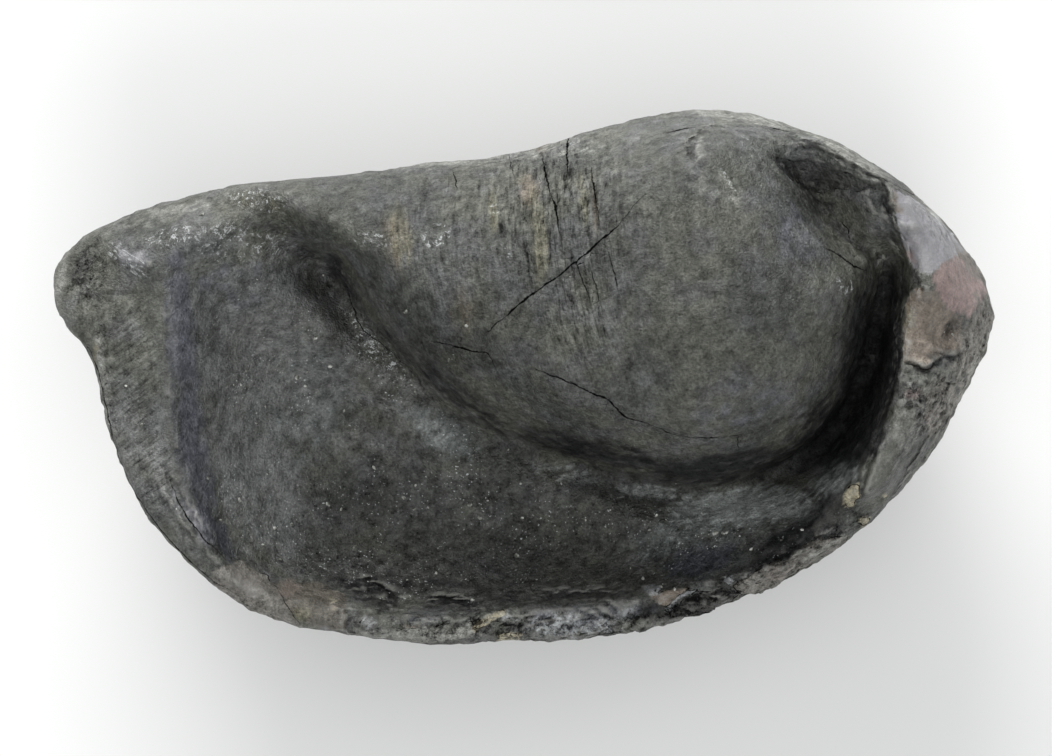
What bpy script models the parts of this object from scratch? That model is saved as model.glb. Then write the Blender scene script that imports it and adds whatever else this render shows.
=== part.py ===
"""Fossil ear bone (tympanic bulla) of a baleen whale, as one solid.

The bone is a thick-walled half shell that lies on its rounded underside. Seen from above, +X is the
rear end, +Y is the inner (medial) side and +Z points up out of the ear cavity. A heavy swollen roll,
the involucrum, runs along the +Y side and ends in a big dome. A furrow curls round the foot of the
roll, and the open cavity lies between the furrow and the broken rim of the thin outer lip.
The numbers are millimetres. The finished solid is in metres, its origin under the middle of its base.
"""

import bmesh
import bpy
import numpy as np

MM = 0.001
TAU = 2 * np.pi
NAME = "ear_bone"
SEED = 11

# Driving dimensions.
HUB = np.array([4.0, 1.0])  # the point above the lowest part of the underside
LEVEL = 22.6  # height of the widest outline at the hub
LEVEL_SLOPE = np.array([-0.055, -0.060])  # the widest outline dips to the rear and to the inner side
HULL_POWER = 2.1  # over 2 is fuller than round
BASE_DROP = 0.8  # how much of the rounded underside is worn flat
FINE_SUBDIVISIONS = 7  # of the icosphere that is modelled
TRIANGLES = 9600  # left in the finished solid

# The widest outline, clockwise from the front tip: (x, y).
OUTLINE = [
    (-45.1, 9.1), (-44.4, 10.9), (-42.4, 13.0), (-40.2, 14.3), (-36.7, 15.9), (-32.9, 17.0),
    (-28.1, 18.0), (-21.4, 18.9), (-13.8, 19.8), (-8.1, 20.6), (-2.3, 21.1), (1.5, 22.0),
    (5.3, 23.3), (9.1, 24.3), (12.9, 25.2), (16.8, 25.5), (20.6, 25.3), (24.4, 24.6),
    (28.2, 23.3), (32.0, 21.5), (35.9, 19.1), (39.0, 16.3), (41.8, 13.2), (44.0, 10.0),
    (45.1, 6.8), (45.0, 4.0), (44.0, 1.0), (42.1, -2.4), (39.9, -6.1), (37.1, -9.9),
    (33.6, -13.7), (27.9, -17.5), (20.9, -21.3), (15.4, -23.3), (9.1, -24.6), (3.4, -25.3),
    (-2.3, -25.5), (-8.1, -25.5), (-13.8, -25.1), (-19.5, -24.3), (-23.5, -23.3), (-26.7, -22.0),
    (-30.0, -19.6), (-32.6, -17.3), (-35.7, -13.7), (-38.0, -9.9), (-39.4, -6.1), (-40.3, -2.2),
    (-40.8, 0.1), (-41.5, 2.3), (-42.6, 3.8), (-43.9, 5.0), (-44.6, 7.0),
]  # fmt: skip

# The foot of the roll, from the front tip round the dome: (x, y, height, width of the bank beyond it,
# height of the ledge along the bank).
FURROW = [
    (-45.0, 26.0, 27.0, 2.0, 0.0), (-34.0, 26.0, 27.0, 2.0, 0.0), (-27.0, 21.5, 27.0, 2.0, 0.0),
    (-24.4, 17.2, 27.5, 2.6, 0.0), (-22.0, 13.4, 25.0, 3.0, 0.0), (-19.2, 10.4, 16.5, 2.0, 0.0),
    (-16.6, 7.3, 14.5, 1.6, 0.0), (-14.3, 4.0, 15.5, 1.6, 0.4), (-11.9, 1.4, 15.5, 1.6, 1.0),
    (-9.0, -1.3, 15.5, 1.7, 2.0), (-6.2, -3.4, 15.3, 1.8, 2.6), (-2.3, -5.3, 15.0, 1.8, 2.8),
    (2.4, -7.2, 14.8, 1.7, 3.0), (7.2, -8.7, 14.4, 1.6, 3.2), (12.0, -10.1, 14.0, 1.5, 3.6),
    (16.8, -10.6, 13.6, 1.5, 4.0), (21.5, -9.8, 13.0, 1.6, 4.0), (26.0, -8.0, 12.2, 1.8, 3.2),
    (29.4, -5.3, 11.5, 1.7, 1.6), (31.7, -1.9, 11.0, 1.4, 0.4), (33.1, 1.6, 11.0, 1.0, 0.0),
    (33.9, 5.2, 12.0, 0.9, 0.0), (34.3, 8.4, 15.5, 1.1, 0.0), (33.7, 10.9, 20.5, 1.6, 0.0),
    (31.4, 12.5, 24.0, 1.6, 0.0), (29.0, 14.6, 26.0, 1.4, 0.0), (26.6, 17.0, 27.5, 1.2, 0.0),
    (24.4, 19.5, 29.0, 1.2, 0.0), (21.8, 21.6, 30.5, 1.4, 0.0),
]  # fmt: skip

# The inner (medial) side of the outline, which the roll turns over towards: (x, y).
ROLL_SIDE = OUTLINE[:18]

# The opening of the cavity, where its wall reaches the top of the rim: (x, y, height of the rim there,
# steepness of the wall).
BASIN_CENTRE = np.array([-7.0, -6.5])
MOUTH = [
    (-34.2, 10.6, 30.0, 1.6), (-33.3, 7.0, 29.4, 2.4), (-32.9, 2.0, 28.6, 2.8), (-33.1, -4.2, 27.9, 3.2),
    (-32.3, -9.4, 27.2, 3.4), (-30.3, -15.2, 26.4, 3.6), (-26.7, -19.7, 25.8, 4.0),
    (-21.4, -21.4, 25.5, 4.6), (-15.7, -22.2, 25.4, 5.0), (-10.0, -22.6, 25.3, 5.0),
    (-4.2, -22.6, 25.2, 5.0), (3.4, -22.0, 25.0, 5.0), (9.1, -21.3, 25.0, 5.0), (16.0, -20.3, 25.0, 5.0),
    (21.4, -18.6, 25.2, 5.0), (26.4, -16.2, 25.8, 5.0), (30.1, -13.6, 26.8, 5.0), (32.0, -9.9, 28.2, 5.0),
    (33.4, -5.4, 29.6, 6.0), (34.6, -2.0, 30.6, 7.0), (35.2, 2.0, 31.0, 7.0), (35.4, 5.6, 31.2, 7.0),
    (36.4, 9.0, 31.2, 6.0), (36.0, 13.2, 31.2, 4.0), (34.0, 17.4, 31.2, 4.0), (31.1, 19.8, 31.2, 4.0),
    (26.3, 22.3, 31.2, 4.0), (10.0, 22.0, 31.0, 3.0), (-8.0, 18.5, 31.0, 2.0), (-22.0, 15.6, 31.0, 1.3),
    (-30.0, 13.9, 30.6, 1.35),
]  # fmt: skip
BASIN_FLOOR, FLOOR_RISE = 13.0, 0.03  # at x = -10, and how much it rises to the rear for each mm
RIM_FULLNESS = 1.1  # how much rounder the rim is at the rear than at the front
LEDGE_OFF, LEDGE_WIDTH = 3.6, 4.2  # the ledge's distance from the furrow, and its width
EDGE_BLEND, SHOULDER_BLEND = 0.4, 3.5  # rounding of the rim's edge, and how much more of a gentle wall's
BANK_REACH, BANK_POWER = 1.5, 1.8  # how soon and how steeply the bank rises from the furrow

# The crest of the roll: its height along X, and how much it falls off to either side of its middle line.
CREST = [(-45, 28.0), (-38, 30.6), (-30, 31.0), (-22, 31.8), (-12, 34.0), (-2, 36.4), (8, 38.0), (16, 38.6),
         (24, 37.6), (30, 35.4), (36, 32.0), (45, 28.0)]  # fmt: skip
CREST_LINE = [(-45, 12.0), (-20, 16.5), (-5, 14.0), (8, 11.0), (20, 9.0), (45, 9.0)]
CREST_RADIUS = 30.0
FLANK_REACH = [(-45, 7.0), (-25, 7.0), (0, 9.0), (20, 10.0), (45, 9.0)]  # width of the flank over the furrow
FLANK_POWER = 2.5
# Width of the flank over the inner side.
SIDE_REACH = [(-45, 8.0), (-20, 12.0), (0, 14.0), (10, 11.0), (18, 7.0), (30, 6.0), (45, 6.0)]
SIDE_POWER = 2.0
ROUNDNESS = 1.6  # 1 is a straight foot, and more stands steeper
ROLL_SHARE = 0.85  # how much of the roll's width each flank takes where it is narrow
SEAM_WIDTH = 0.3  # of the join between the roll and the shelf
SEAMS = [((-25.0, 18.0), 6.0, 5.0), ((20.5, 24.5), 5.0, 4.0)]  # where the furrow fades: place, width, reach

# Flat breaks that cut the form: a point on the break, its slopes along x and y, and its x and y ranges.
BREAKS = {
    "front facet": ((-33.0, 0.0, 28.6), (0.47, 0.20), (-50, -30), (-30, 30)),
    "upper facet of the rear wall": ((38.5, 12.0, 31.0), (-0.42, 0.10), (34, 60), (6.6, 30)),
    "hollow of the rear wall": ((37.5, 4.0, 29.4), (-0.12, 0.05), (34, 42), (0.6, 6.8)),
    "lower facet of the rear wall": ((36.0, -7.0, 28.6), (-0.85, 0.40), (28, 60), (-30, -0.4)),
    "corner facet of the rim": ((29.0, -15.5, 25.6), (-0.55, 0.60), (20, 60), (-30, -11.5)),
    "front facet of the rim": ((-26.0, -20.5, 25.4), (0.35, 0.75), (-34, -19), (-30, -15)),
}

# Grooves and ridges of the upper side: points (x, y, depth, negative where it stands up), half width.
STROKES = {
    "cleft in the scar": ([
        (23.8, 20.5, 0.2), (26.2, 19.3, 1.4), (29.0, 18.2, 1.8), (31.6, 17.6, 1.5), (34.0, 16.2, 0.3)], 1.0),
    "scar along the rim": ([
        (17.6, 23.4, 0.2), (20.5, 23.2, 1.2), (24.0, 22.3, 1.4), (28.0, 20.6, 1.2), (31.5, 19.2, 0.4)], 1.7),
    "front ridge": ([
        (-41.0, 13.0, -0.2), (-38.4, 12.2, -0.9), (-35.9, 10.8, -1.3), (-33.8, 8.6, -0.5)], 1.1),
    "notch under the roll": ([
        (-19.6, 11.4, 0.3), (-18.4, 10.4, 2.6), (-17.3, 9.2, 2.6), (-16.5, 8.0, 0.3)], 1.0),
    "groove by the knuckle": ([
        (17.6, 22.2, 0.1), (15.9, 21.4, 0.9), (15.6, 19.6, 0.8), (15.9, 17.4, 0.1)], 0.6),
    "split along the rim": ([
        (-17.0, -21.0, 0.2), (-14.0, -21.5, 1.3), (-9.0, -22.2, 1.2), (-6.0, -22.6, 0.2)], 0.9),
    "ledge start": ([(-12.6, -2.6, 0.1), (-10.6, -4.6, 0.8), (-9.2, -6.6, 0.2)], 1.0),
}  # fmt: skip

# Pits and knobs of the upper side: x, y, half sizes, depth, negative where it stands up.
PITS = [
    (-41.6, 9.8, 2.0, 3.2, 1.1), (-43.2, 6.6, 1.5, 1.8, -0.5), (16.9, 20.4, 1.3, 2.0, -0.9),
    (37.4, 3.9, 1.8, 2.6, 0.9), (40.4, 3.4, 1.6, 1.9, 1.5), (42.6, -0.6, 1.4, 1.6, 0.7),
    (39.4, -1.4, 1.6, 1.5, 0.9), (14.4, -21.6, 2.2, 1.2, 1.2), (19.0, -20.4, 1.0, 1.0, 0.9),
    (24.0, -18.2, 2.6, 1.3, -0.6), (-24.6, -21.6, 1.4, 1.2, 0.6), (30.6, -12.4, 1.4, 1.4, 0.7),
    (32.4, 12.6, 2.2, 1.8, -1.0),
]  # fmt: skip

# Grooves of the underside, as above: the furrow between its two rear lobes, and one beside the keel.
KEEL_STROKES = {
    "furrow between the lobes": ([
        (43.0, 0.5, 1.2), (34.0, -0.5, 3.2), (24.0, -2.0, 2.2), (13.0, -4.0, 0.2)], 4.5),
    "hollow beside the keel": ([
        (-38.0, 8.0, 0.2), (-24.0, 9.0, 1.6), (-6.0, 11.0, 1.2), (8.0, 13.0, 0.2)], 5.0),
}  # fmt: skip
LUMP_SIZE, LUMP_HEIGHT = 9.0, 0.35
WEATHERED_SIZE, WEATHERED_HEIGHT = 3.0, 0.5  # of the pitted bone at the rear end
REAR_FROM_X, REAR_FROM_Y = (37, 42), (9, 5)  # where the pitted bone starts and is at its full strength


def smooth_curve(points, closed=False, steps=6):
    """Points along a Catmull-Rom curve through the given ones, with any further columns carried along."""
    given = np.array(points, float)
    if closed:
        padded = np.vstack([given[-1], given, given[0], given[1]])
    else:
        padded = np.vstack([2 * given[0] - given[1], given, 2 * given[-1] - given[-2]])
    t = np.linspace(0, 1, steps, endpoint=False)[:, None]
    rows = []
    for before, start, end, after in zip(padded, padded[1:], padded[2:], padded[3:]):
        rows.append(
            0.5 * (2 * start + (end - before) * t + (2 * before - 5 * start + 4 * end - after) * t**2
                   + (3 * start - before - 3 * end + after) * t**3)
        )
    rows.append(given[:1] if closed else given[-1:])
    return np.vstack(rows)


def nearest(places, curve, sharpness=8):
    """Distance to a curve, positive to the left of its direction, and its other columns there.

    Every stretch of the curve counts by its closeness, so that the field has no creases far from it.
    """
    starts, spans = curve[:-1], np.diff(curve, axis=0)
    gaps = places[:, None, :] - starts[None, :, :2]
    lengths = np.maximum((spans[:, :2] ** 2).sum(axis=1), 1e-12)
    shares = np.clip((gaps * spans[None, :, :2]).sum(axis=2) / lengths, 0, 1)
    off = gaps - shares[:, :, None] * spans[None, :, :2]
    distances = np.sqrt((off**2).sum(axis=2)) + 1e-6
    weights = (distances.min(axis=1, keepdims=True) / distances) ** sharpness
    weights /= weights.sum(axis=1, keepdims=True)
    columns = range(2, curve.shape[1])
    carried = [((starts[:, k] + shares * spans[:, k]) * weights).sum(axis=1) for k in columns]
    closest = np.argmin(distances, axis=1)
    rows = np.arange(len(places))
    gap, span = gaps[rows, closest], spans[closest]
    side = np.where(span[:, 0] * gap[:, 1] - span[:, 1] * gap[:, 0] >= 0, 1.0, -1.0)
    return (distances * weights).sum(axis=1) * side, carried


def smoothstep(value, low, high):
    t = np.clip((value - low) / (high - low), 0, 1)
    return t * t * (3 - 2 * t)


def soft_min(a, b, blend):
    mix = np.clip(0.5 + 0.5 * (b - a) / blend, 0, 1)
    return b * (1 - mix) + a * mix - blend * mix * (1 - mix)


def polar_reach(curve, centre, direction):
    """How far a closed curve lies from centre in each direction, and its other columns there."""
    arms = curve[:, :2] - centre
    angles = np.arctan2(arms[:, 1], arms[:, 0])
    order = np.argsort(angles)
    wanted = np.arctan2(direction[:, 1], direction[:, 0])
    rows = np.column_stack([np.hypot(arms[:, 0], arms[:, 1]), curve[:, 2:]])[order]
    return np.column_stack([np.interp(wanted, angles[order], column, period=TAU) for column in rows.T])


def gradient_noise(points, seed):
    """Smooth noise of about -1 to 1 in space, with one lump for each unit of the points."""
    rng = np.random.default_rng(seed)
    order = rng.permutation(256)
    gradients = rng.normal(size=(256, 3))
    gradients /= np.linalg.norm(gradients, axis=1, keepdims=True)
    cell = np.floor(points).astype(int)
    inside = points - cell
    fade = inside**3 * (inside * (inside * 6 - 15) + 10)
    total = np.zeros(len(points))
    for corner in np.ndindex(2, 2, 2):
        x, y, z = ((cell + corner) % 256).T
        gradient = gradients[order[(order[(order[x] + y) % 256] + z) % 256]]
        weight = np.prod(np.where(corner, fade, 1 - fade), axis=1)
        total += weight * ((inside - corner) * gradient).sum(axis=1)
    return total * 1.6


def strokes_depth(places, strokes):
    """How deep a set of grooves lies under each place."""
    depth = np.zeros(len(places))
    for points, half_width in strokes.values():
        distance, (deep,) = nearest(places, smooth_curve(points))
        depth += deep * np.exp(-((distance / half_width) ** 2))
    return depth


def pits_depth(places):
    depth = np.zeros(len(places))
    for x, y, half_x, half_y, deep in PITS:
        depth += deep * np.exp(-(((places[:, 0] - x) / half_x) ** 2) - ((places[:, 1] - y) / half_y) ** 2)
    return depth


def level(places):
    """Height of the widest outline over each place."""
    return LEVEL + places @ LEVEL_SLOPE


def along_x(table, places):
    """A value given at some x, smoothly between them."""
    curve = smooth_curve(table)
    return np.interp(places[:, 0], curve[:, 0], curve[:, 1])


def still_to_climb(distance, reach_table, power, width, places):
    """Share of a flank's height that is left at a distance from its foot, on a roll this wide."""
    reach = np.minimum(along_x(reach_table, places), ROLL_SHARE * width)
    share = np.clip(distance / np.maximum(reach, 0.01), 0, 1)
    return 1 - (1 - (1 - share) ** power) ** (1 / ROUNDNESS)


def cavity(places):
    """Height of the open cavity and of the rim round it."""
    arms = places - BASIN_CENTRE
    mouth, height, power = polar_reach(smooth_curve(MOUTH, closed=True), BASIN_CENTRE, arms).T
    outside = polar_reach(smooth_curve(OUTLINE, closed=True), BASIN_CENTRE, arms)[:, 0]
    share = np.hypot(arms[:, 0], arms[:, 1]) / mouth
    floor = BASIN_FLOOR + FLOOR_RISE * (places[:, 0] + 10)
    bowl = floor + (height - floor) * share**power
    rim_share = np.clip((share - 1) / np.maximum(outside / mouth - 1, 0.02), 0, 1)
    fullness = 1 + RIM_FULLNESS * smoothstep(places[:, 0], 24, 34)
    rim = height + (level(places) - height) * rim_share**fullness
    gentle_wall = smoothstep(2.4 - power, 0, 0.8)
    return soft_min(bowl, rim, EDGE_BLEND + SHOULDER_BLEND * gentle_wall)


def top_height(places):
    """Height of the upper surface over each place inside the outline."""
    bowl = cavity(places)
    foot, (foot_height, bank, ledge) = nearest(places, smooth_curve(FURROW))
    away = np.abs(foot)
    bowl = bowl + ledge * np.exp(-(((away - LEDGE_OFF) / LEDGE_WIDTH) ** 2))
    climbed = 1 - np.exp(-((away / (BANK_REACH * bank)) ** BANK_POWER))
    shelf = foot_height + (bowl - foot_height) * climbed

    side = np.abs(nearest(places, smooth_curve(ROLL_SIDE))[0])
    width = away + side
    crest = along_x(CREST, places) - (places[:, 1] - along_x(CREST_LINE, places)) ** 2 / (2 * CREST_RADIUS)
    over_furrow = (crest - foot_height) * still_to_climb(away, FLANK_REACH, FLANK_POWER, width, places)
    over_side = (crest - level(places)) * still_to_climb(side, SIDE_REACH, SIDE_POWER, width, places)
    roll = crest - np.hypot(over_furrow, over_side)
    seam = SEAM_WIDTH
    for (x, y), wide, reach in SEAMS:
        seam = seam + wide * np.exp(-(((places - (x, y)) ** 2).sum(axis=1)) / reach**2)
    on_roll = smoothstep(foot / seam, -1, 1)
    height = shelf + (roll - shelf) * on_roll
    for (x, y, z), (slope_x, slope_y), x_range, y_range in BREAKS.values():
        plane = z + slope_x * (places[:, 0] - x) + slope_y * (places[:, 1] - y)
        inside_break = (places[:, 0] > x_range[0]) & (places[:, 0] < x_range[1])
        inside_break &= (places[:, 1] > y_range[0]) & (places[:, 1] < y_range[1])
        height = np.where(inside_break, soft_min(height, plane, 0.3), height)
    return height - strokes_depth(places, STROKES) - pits_depth(places)


def underside_height(places, share):
    """Height of the rounded underside, where share runs from 0 at the hub to 1 at the outline."""
    hull = 1 - np.sqrt(np.clip(1 - share**HULL_POWER, 0, 1))
    lifted = strokes_depth(places, KEEL_STROKES) * (1 - share**6)
    return (level(places) + BASE_DROP) * hull - BASE_DROP + lifted


def shape(unit):
    """Moves the points of a unit sphere to the surface of the bone."""
    outline = smooth_curve(OUTLINE, closed=True)
    half_sides = (outline.max(axis=0) - outline.min(axis=0)) / 2
    direction = unit[:, :2] * half_sides
    share = np.hypot(unit[:, 0], unit[:, 1])
    length = np.maximum(np.hypot(direction[:, 0], direction[:, 1]), 1e-9)
    direction = direction / length[:, None]
    reach = polar_reach(outline, HUB, direction)[:, 0]
    places = HUB + direction * (reach * share)[:, None]
    height = np.where(unit[:, 2] >= 0, top_height(places), underside_height(places, share))
    on_outline = np.abs(unit[:, 2]) < 1e-6
    height = np.where(on_outline, level(places), height)
    points = weathered(np.column_stack([places, height]))
    points[:, :2] -= (points[:, :2].min(axis=0) + points[:, :2].max(axis=0)) / 2
    return points


def weathered(points):
    """Adds the slow lumps of the whole bone and the coarse ones of its rear end."""
    centre = np.append(HUB, LEVEL)
    outward = points - centre
    outward /= np.linalg.norm(outward, axis=1, keepdims=True)
    lumps = LUMP_HEIGHT * gradient_noise(points / LUMP_SIZE, SEED)
    rear = smoothstep(points[:, 0], *REAR_FROM_X) * smoothstep(points[:, 1], *REAR_FROM_Y)
    coarse = WEATHERED_HEIGHT * gradient_noise(points / WEATHERED_SIZE, SEED + 1) * rear
    return points + outward * (lumps + coarse)[:, None]


def clear_scene():
    for old in list(bpy.data.objects):
        bpy.data.objects.remove(old, do_unlink=True)


def make_bone(collection):
    bone = bmesh.new()
    bmesh.ops.create_icosphere(bone, subdivisions=FINE_SUBDIVISIONS, radius=1.0)
    unit = np.array([vertex.co for vertex in bone.verts])
    for vertex, place in zip(bone.verts, shape(unit) * MM):
        vertex.co = place
    mesh = bpy.data.meshes.new(NAME)
    bone.to_mesh(mesh)
    bone.free()
    made = bpy.data.objects.new(NAME, mesh)
    collection.objects.link(made)
    relaxed = made.modifiers.new("even flanks", "SMOOTH")
    relaxed.factor = 0.5
    relaxed.iterations = 4
    fewer = made.modifiers.new("even facets", "DECIMATE")
    fewer.ratio = TRIANGLES / len(mesh.polygons)
    return made


def petrified_bone():
    """Dark grey, faintly green petrified bone with a dull polish."""
    material = bpy.data.materials.new("petrified_bone")
    material.use_nodes = True
    shader = material.node_tree.nodes["Principled BSDF"]
    shader.inputs["Base Color"].default_value = (0.10, 0.105, 0.09, 1)
    shader.inputs["Roughness"].default_value = 0.5
    shader.inputs["Metallic"].default_value = 0
    return material


def rest_flat(bone, collection):
    """Cuts the worn flat that the bone rests on."""
    bpy.ops.mesh.primitive_cube_add(size=1, location=(0, 0, -5 * MM), scale=(100 * MM, 60 * MM, 10 * MM))
    ground = bpy.context.object
    ground.name = "ground_cutter"
    bpy.ops.object.transform_apply(location=True, rotation=False, scale=True)
    for holder in list(ground.users_collection):
        holder.objects.unlink(ground)
    collection.objects.link(ground)
    ground.hide_render = True
    ground.display_type = "WIRE"
    cut = bone.modifiers.new("worn flat", "BOOLEAN")
    cut.operation = "DIFFERENCE"
    cut.object = ground


def main():
    clear_scene()
    parts = bpy.data.collections.new("fossil_ear_bone")
    cutters = bpy.data.collections.new("cutters")
    for collection in (parts, cutters):
        bpy.context.scene.collection.children.link(collection)
    bone = make_bone(parts)
    rest_flat(bone, cutters)
    bone.data.materials.append(petrified_bone())
    bone.data.shade_smooth()


main()
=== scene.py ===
"""Looks of a fossil whale ear bone, which lies on its rounded back with its open hollow up.

Lengths in the tables are millimetres in the frame: +X is the rear end with the dome, +Y the inner side
and +Z up. The bone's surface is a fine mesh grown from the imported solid, then carved and weathered.
"""

import bmesh
import bpy
import numpy as np
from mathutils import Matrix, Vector


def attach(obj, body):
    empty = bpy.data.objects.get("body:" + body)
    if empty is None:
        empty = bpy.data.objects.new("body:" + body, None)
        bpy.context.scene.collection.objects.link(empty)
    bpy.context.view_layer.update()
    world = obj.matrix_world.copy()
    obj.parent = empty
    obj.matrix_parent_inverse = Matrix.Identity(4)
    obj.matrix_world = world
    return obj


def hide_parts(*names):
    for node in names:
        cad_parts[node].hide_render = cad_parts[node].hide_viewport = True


MM = 0.001
NODE = "ear_bone"
SEED = 11

COARSE = 0.82  # edge of the even mesh; the upper side has half of it, and what is carved a quarter
CARVED_REACH = 0.55  # how far from a carved line the finest mesh goes
WALL_REACH = 12  # from the rear wall's inner edge past its outer side
# Those dark colours are painted shade in the furrow and the hole, and partly in the ink and the hollow.
DARK_ENDS_FROM = 15  # x behind which dark stains end at the rear wall and the scar
WALL_COLOURS_FROM = 30  # x behind which the wall's own colours end at its inner edge
STEP_SHARP = 0.12  # half of the way over which a step drops
GROOVE_REACH = 2.5  # how many of its half widths a groove reaches
SOFT_LIFT = 0.2  # over which a broken piece rises
SOFT_STAIN = 0.12  # over which its colour begins

CRACK_DEPTH = 0.15  # of the darkest crack
CRACK_USUAL = 0.13  # half width that a crack's kept distance is scaled to
LINE_REACH = 0.7  # how far from a crack its distance is kept
JOINT_DARK = 0.45  # of the lines round the broken pieces, where a crack's darkest is 1

# How far drawn lines stray from their course, how long their bends are, how fine they get, and their seed.
STRAY = {
    "step": (0.2, 1.5, 2, 12),
    "groove": (0.3, 1.3, 3, 5),
    "crack": (0.12, 0.9, 2, 16),
    "piece": (0.18, 1.2, 3, 17),
    "piece, across": (0.18, 1.2, 3, 18),
    "wall": (0.15, 1, 1, 0),
}

# Light and dark of the bone: how strong the clouds are and their size, then the blotches that end sharply.
CLOUDS = (0.12, 6)
SMALL_CLOUDS = (0.12, 2)
BLOTCH = 0.9
# Painted light and shade: the lit zones are painted lighter and the dim ones painted darker, by this share.
PAINTED_LIGHT_AND_SHADE = 0.25  # how much lighter a lit zone is, and how much darker a dim one
# Bulges are painted paler, partly as wear and partly as a painted highlight; hollows get painted shade.
BULGE = 1.5  # curvature, in 1/mm, that is fully worn where it bulges and fully dirty where it hollows
CRACK_LIPS = (0.25, 0.55)  # distances from a crack between which its own dent stops counting

# Sand: the zones where it sticks, how many grains a square metre would hold, their radii and how flat they
# are, the power that makes large ones rare, the sRGB colours of dull faces and clean ones, and how large the
# patches of each are.
GRITTY = {"hollow": 0.7, "teal": 0.4, "slate": 0.35}
SAND_DENSITY = 7e5
SAND_RADII = (0.03, 0.38)
SAND_SHAPE = (1, 0.75, 0.5)
SAND_POWER = 5
SAND_COLOURS = ("#55564f", "#c2c3bc")
SAND_PATCH = 0.6

# Area lights: place, width, and power in watts.
LIGHTS = {
    "key": ((-150, 700, 280), 400, 8.5),
    "overhead": ((0, 0, 1000), 1000, 4),
    "front fill": ((60, -600, 600), 500, 3),
}
CAMERA = (0.14, -0.14, 468.5)
LENS, SENSOR = 160, 36
FLOOR = 1500  # half its width

# Thin cracks and scratches, which show as dark lines: points (x, y, depth), then half width.
CRACKS = {
    "long crack over the roll": ([
        (-3.4, 4.2, 0.3), (-1.6, 5.7, 0.8), (0.2, 7.2, 1), (1.6, 8.3, 0.8), (3.2, 9.3, 0.9),
        (4.7, 10.6, 0.85), (6.1, 11.7, 1), (7.3, 12.8, 0.7), (8.6, 13.9, 0.5), (10.6, 16.3, 0.25),
        (12.5, 17.6, 0.05)], 0.13),
    "low crack, front": ([
        (-8.5, 3.3, 0.3), (-6.4, 2.8, 0.9), (-5, 2.4, 0.8), (-3.5, 2.2, 0.4), (-3, 1.4, 0.4),
        (-2.5, 0.2, 0.1)], 0.12),
    "low crack, rear": ([
        (1, 0.7, 0.4), (2.7, 0, 0.8), (4.7, -0.8, 0.9), (6.4, -1.6, 0.9), (7.8, -2.2, 1), (9.2, -3.6, 0.7),
        (11.5, -4.4, 0.4), (14.3, -5.5, 0.35), (16.6, -5.7, 0.45), (18.2, -5.7, 0.4), (20.6, -5.4, 0.3),
        (23.1, -4.9, 0.1)], 0.12),
    "short crack": ([(19.9, -4.9, 0.05), (20, -6.1, 0.6), (20.2, -7.2, 0.1)], 0.1),
    "inner side crack": ([(13.1, 22.8, 0.1), (14.1, 23, 0.7), (15.2, 23.3, 0.7), (16.2, 23.3, 0.1)], 0.1),
    "facet line": ([(33.5, 18.5, 0.5), (34.9, 18, 0.6), (36.4, 17.5, 0.6), (38.1, 16.9, 0.3)], 0.09),
    "lump crack, upper": ([(29.9, 14.8, 0.2), (30.6, 13.8, 0.7), (30.7, 13, 0.4)], 0.12),
    "lump crack, lower": ([(27.8, 12.1, 0.2), (29.4, 11.3, 0.7), (30.7, 10.4, 0.9), (31.8, 10, 0.4)], 0.14),
    "striation 1": ([
        (1.7, 20.7, 0.3), (2, 19, 0.9), (2.4, 17.2, 0.7), (2.9, 15.5, 0.9), (3.2, 13, 0.2)], 0.15),
    "striation 2": ([(4.2, 22.8, 0.4), (4, 21.6, 0.9), (4, 19.9, 0.7), (4, 18, 0.2)], 0.17),
    "striation 3": ([(6.2, 19.5, 0.2), (6.4, 17.8, 0.7), (6.6, 16.4, 0.7), (6.9, 14.4, 0.2)], 0.16),
    "striation 4": ([(-1.5, 21.2, 0.2), (-1.2, 19.9, 0.6), (-0.8, 17.8, 0.1)], 0.11),
    "striation 5": ([(4.3, 11.8, 0.1), (5.3, 9, 0.55), (6.3, 6.3, 0.1)], 0.16),
    "striation 6": ([(7.6, 12.1, 0.1), (8.2, 9.7, 0.45), (8.8, 6.9, 0.05)], 0.16),
    "striation 7": ([(5.9, 10.6, 0.1), (6.7, 7.8, 0.5), (7.4, 5.1, 0.1)], 0.16),
    "striation 8": ([(-6.7, 19.3, 0.2), (-6.5, 18.4, 0.7), (-6.3, 17.4, 0.1)], 0.14),
    "furrow edge": ([
        (-17.2, 9.2, 0.1), (-16.6, 7, 0.5), (-15.6, 4.6, 0.5), (-13.1, 2.6, 0.4), (-10.7, 0.2, 0.1)], 0.16),
    "seam along the front edge": ([
        (-42, 3.6, 0.1), (-40.9, 1.7, 0.4), (-40.1, -1, 0.5), (-39.5, -4, 0.5), (-38.6, -7.6, 0.4),
        (-36.9, -11.2, 0.5), (-34.4, -14.6, 0.5), (-31.6, -17.6, 0.5), (-28.6, -20, 0.3),
        (-25, -21.9, 0.1)], 0.13),
    "line in the front rim": ([
        (-33.6, -9.8, 0.2), (-32.2, -12.8, 0.6), (-30.2, -15.5, 0.6), (-28.2, -17.4, 0.2)], 0.14),
}  # fmt: skip

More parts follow.
